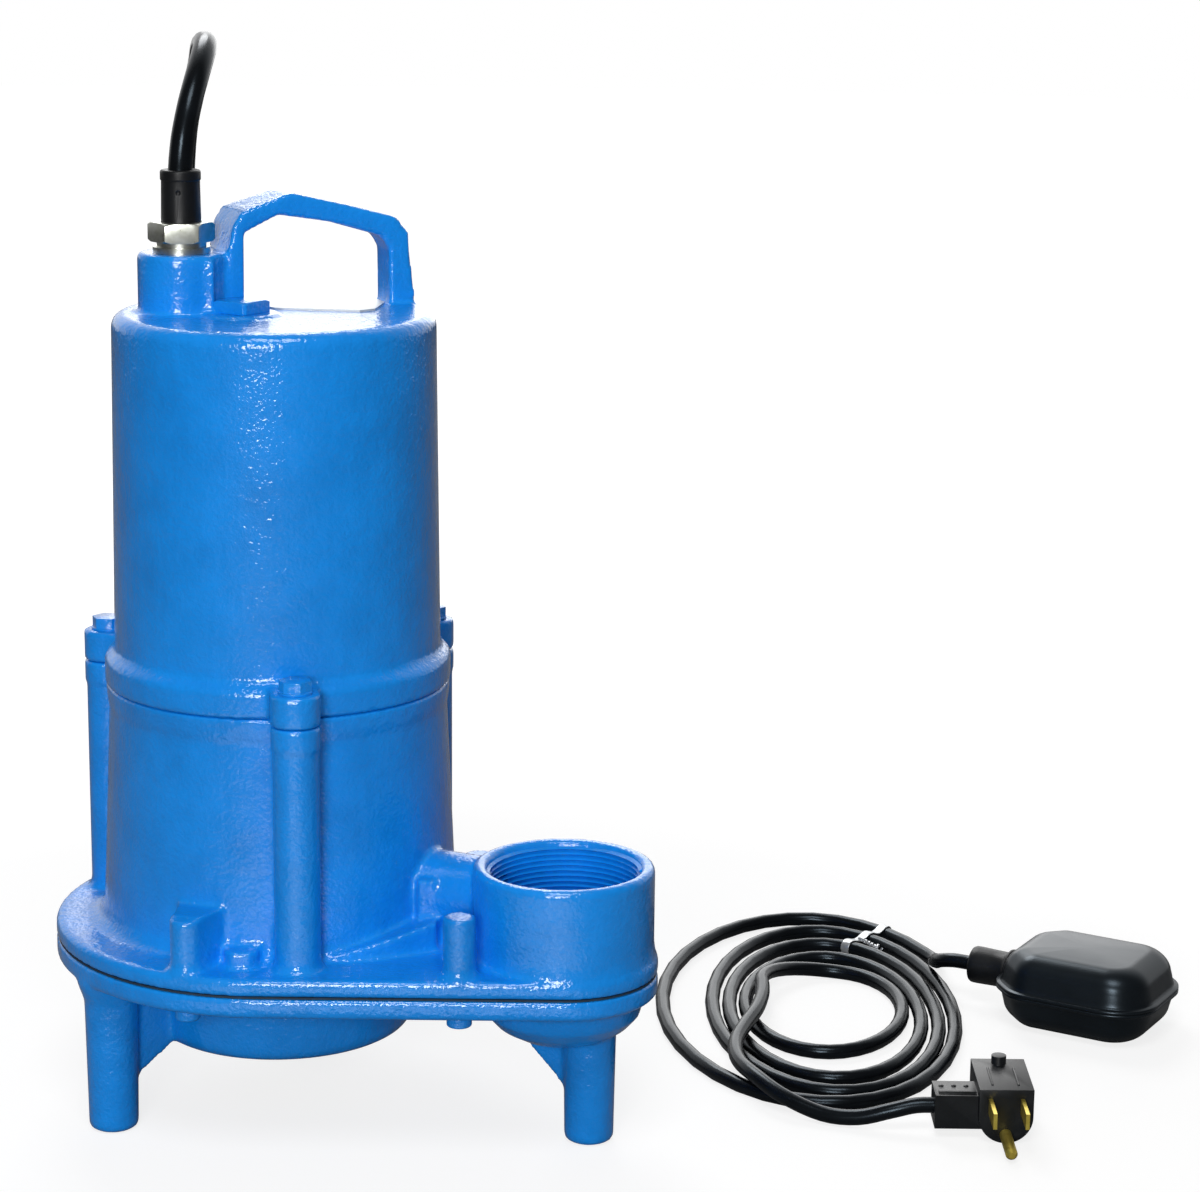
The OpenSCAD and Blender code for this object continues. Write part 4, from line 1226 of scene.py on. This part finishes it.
@dataclass
class Studio:
    """A pale floor, soft lamps, a white surround and the camera."""

    camera_at: Point = (128.38, -1235.51, 492.51)
    pitch_deg: float = 12.949
    roll_deg: float = 0.645
    lens_mm: float = 95.455
    sensor_mm: float = 36.0
    far_clip: float = 20.0
    floor_r: float = 6.0
    # How far from the middle the floor turns white by itself, and how white it starts.
    lift_from: float = 0.35
    lift_to: float = 0.9
    lift_least: float = 0.8
    card_size: float = 0.42
    card_at: Point = (-0.03, -0.42, 0.002)
    card_strength: float = 0.9
    # The surround: where gloss sees it turn from the dim room to the white backdrop.
    backdrop_from: float = 0.15
    backdrop_to: float = 0.7
    room: float = 0.1
    lamps: tuple[Lamp, ...] = (
        Lamp("key", (-0.24, -2.1, 0.7), 0.7, 23.0, (-0.02, 0.0, 0.24)),
        Lamp("top", (0.05, -1.0, 1.75), 0.8, 14.0, (0.05, 0.0, 0.1)),
        Lamp("low back", (0.2, 2.0, 0.8), 1.4, 6.5, (0.0, 0.0, 0.15)),
        Lamp("high back", (-0.3, 1.5, 1.7), 1.0, 16.0, (0.0, 0.0, 0.15)))

    def aim_camera(self) -> bpy.types.Object:
        """Places the camera, turned down and a little rolled.

        Returns:
            The camera.
        """
        data = bpy.data.cameras.new("view")
        data.lens = self.lens_mm
        data.sensor_width = self.sensor_mm
        data.clip_end = self.far_clip
        camera = bpy.data.objects.new("view", data)
        bpy.context.collection.objects.link(camera)
        turn = (Matrix.Rotation(math.radians(90 - self.pitch_deg), 4, "X")
                @ Matrix.Rotation(math.radians(self.roll_deg), 4, "Z"))
        camera.matrix_world = Matrix.Translation(placed(*self.camera_at)) @ turn
        bpy.context.scene.camera = camera
        return camera

    def lay_floor(self) -> bpy.types.Object:
        """Lays the floor, which looks white to the camera and keeps soft shadows.

        Returns:
            The floor.
        """
        deselect()
        bpy.ops.mesh.primitive_circle_add(vertices=64, radius=self.floor_r, fill_type="NGON")
        floor = bpy.context.object
        floor.name = "floor"
        material, tree, shader = blank_material("white paper floor")
        shader.inputs["Base Color"].default_value = from_hex("#868686")
        shader.inputs["Roughness"].default_value = 0.9
        shader.inputs["Specular IOR Level"].default_value = 0.1
        shader.inputs["Emission Color"].default_value = WHITE
        place = add_node(tree, "ShaderNodeTexCoord")
        reach = add_node(tree, "ShaderNodeVectorMath", {"operation": "LENGTH"},
                         {"Vector": place.outputs["Object"]})
        lift = add_node(tree, "ShaderNodeMapRange",
                        {"From Min": self.lift_from, "From Max": self.lift_to,
                         "To Min": self.lift_least, "To Max": 1.0},
                        {"Value": reach.outputs["Value"]})
        path = add_node(tree, "ShaderNodeLightPath")
        glow = add_node(tree, "ShaderNodeMath", {"operation": "MULTIPLY"})
        tree.links.new(lift.outputs["Result"], glow.inputs[0])
        tree.links.new(path.outputs["Is Camera Ray"], glow.inputs[1])
        tree.links.new(glow.outputs["Value"], shader.inputs["Emission Strength"])
        floor.data.materials.append(material)
        return floor

    def lay_card(self) -> bpy.types.Object:
        """Lays a white card before the pump, which only its gloss shows.

        Returns:
            The card.
        """
        deselect()
        bpy.ops.mesh.primitive_plane_add(size=self.card_size, location=self.card_at)
        card = bpy.context.object
        card.name = "gloss_card"
        settle(card)
        material, tree, shader = blank_material("white reflector card")
        shader.inputs["Base Color"].default_value = BLACK
        shader.inputs["Emission Color"].default_value = WHITE
        shader.inputs["Emission Strength"].default_value = self.card_strength
        card.data.materials.append(material)
        card.visible_camera = False
        card.visible_diffuse = False
        card.visible_shadow = False
        return card

    def hang_lamps(self) -> None:
        """Hangs the soft boxes, which the camera doesn't see."""
        for lamp in self.lamps:
            data = bpy.data.lights.new(lamp.name, "AREA")
            data.shape = "DISK"
            data.size = lamp.size
            data.energy = lamp.power
            box = bpy.data.objects.new(lamp.name, data)
            bpy.context.collection.objects.link(box)
            box.location = lamp.spot
            box.visible_camera = False
            aim = Vector(lamp.target) - Vector(lamp.spot)
            box.rotation_euler = aim.to_track_quat("-Z", "Y").to_euler()

    def surround(self) -> None:
        """Gives a surround that is white to the camera and graded to gloss."""
        world = bpy.data.worlds.new("white surround")
        bpy.context.scene.world = world
        world.use_nodes = True
        tree = world.node_tree
        tree.nodes.clear()
        place = add_node(tree, "ShaderNodeTexCoord")
        split = add_node(tree, "ShaderNodeSeparateXYZ", {},
                         {"Vector": place.outputs["Generated"]})
        # A white backdrop behind the object, and a dim room in front of it.
        backdrop = add_node(tree, "ShaderNodeMapRange",
                            {"From Min": self.backdrop_from, "From Max": self.backdrop_to,
                             "To Min": self.room, "To Max": 1.0},
                            {"Value": split.outputs["Y"]})
        path = add_node(tree, "ShaderNodeLightPath")
        level = path.outputs["Is Camera Ray"]
        for name, strength in (("Is Glossy Ray", backdrop.outputs["Result"]),
                               ("Is Transmission Ray", None)):
            share = add_node(tree, "ShaderNodeMath", {"operation": "MULTIPLY"})
            share.inputs[1].default_value = 1.0
            tree.links.new(path.outputs[name], share.inputs[0])
            if strength is not None:
                tree.links.new(strength, share.inputs[1])
            both = add_node(tree, "ShaderNodeMath", {"operation": "MAXIMUM"})
            tree.links.new(level, both.inputs[0])
            tree.links.new(share.outputs["Value"], both.inputs[1])
            level = both.outputs["Value"]
        least = add_node(tree, "ShaderNodeMath", {"operation": "MAXIMUM"})
        tree.links.new(level, least.inputs[0])
        least.inputs[1].default_value = self.room
        sky = add_node(tree, "ShaderNodeBackground", {"Color": WHITE},
                       {"Strength": least.outputs["Value"]})
        output = add_node(tree, "ShaderNodeOutputWorld")
        tree.links.new(sky.outputs["Background"], output.inputs["Surface"])

    def build(self) -> None:
        """Sets the whole studio up."""
        self.lay_floor()
        self.lay_card()
        self.hang_lamps()
        self.surround()
        bpy.context.scene.view_settings.view_transform = "Standard"


def main() -> None:
    """Builds the dressed pump piece by piece."""
    logging.basicConfig(level=logging.INFO, format="%(name)s: %(message)s")
    studio = Studio()
    studio.aim_camera()
    materials: dict[str, bpy.types.Material] = {}

    def material_of(finish: Union[GrainedFinish, LinedFinish]) -> bpy.types.Material:
        """Gives a finish's material, made at its first use."""
        if finish.name not in materials:
            materials[finish.name] = finish.make()
        return materials[finish.name]

    power_plug = BevelledPart("power_plug", 0.8, Body.PUMP, "black_moulding").build(
        material_of(PLUG_VINYL))
    piggyback = BevelledPart("piggyback_plug", 0.8, Body.PUMP, "black_moulding").build(
        material_of(PLUG_VINYL))
    PowerCord().build(material_of(JACKET), [power_plug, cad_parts["power_plug_pins"]])
    float_cord = FloatCord()
    float_cord.build(material_of(JACKET), [piggyback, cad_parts["piggyback_pins"],
                                           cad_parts["piggyback_contacts"]])
    log.info("cords laid")

    for node, finish in NODE_FINISHES.items():
        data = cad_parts[node].data
        data.materials.clear()
        data.materials.append(material_of(finish))

    for part, finish in (
            (Casting("motor_housing"), ENAMEL), (Casting("volute_casing"), ENAMEL),
            (Casting("base_plate"), ENAMEL),
            (BevelledPart("oil_plug", 0.9, Body.PUMP, "blue_enamel"), ENAMEL),
            (BevelledPart("housing_bolts", 0.5, Body.PUMP, "blue_enamel"), ENAMEL),
            (BevelledPart("base_screws", 0.4, Body.PUMP, "blue_enamel"), ENAMEL),
            (BevelledPart("gland_nut", 0.35, Body.PUMP, "zinc_plate"), ZINC),
            (BevelledPart("cord_boot", 0.5, Body.PUMP, "black_rubber"), RUBBER),
            (FloatShell("float_upper_shell", 1), SHELL),
            (FloatShell("float_lower_shell", -1), SHELL), (FloatBoot(), RUBBER),
            (FlexStub(), JACKET), (TwistTie(float_cord), TIE_TAPE),
            (PlugRelief(), PLUG_VINYL), (PipeThread(), ENAMEL)):
        piece = part.build(material_of(finish))
        log.info("%s: %d faces", piece.name, len(piece.data.polygons))
    studio.build()


if __name__ == "__main__":
    main()
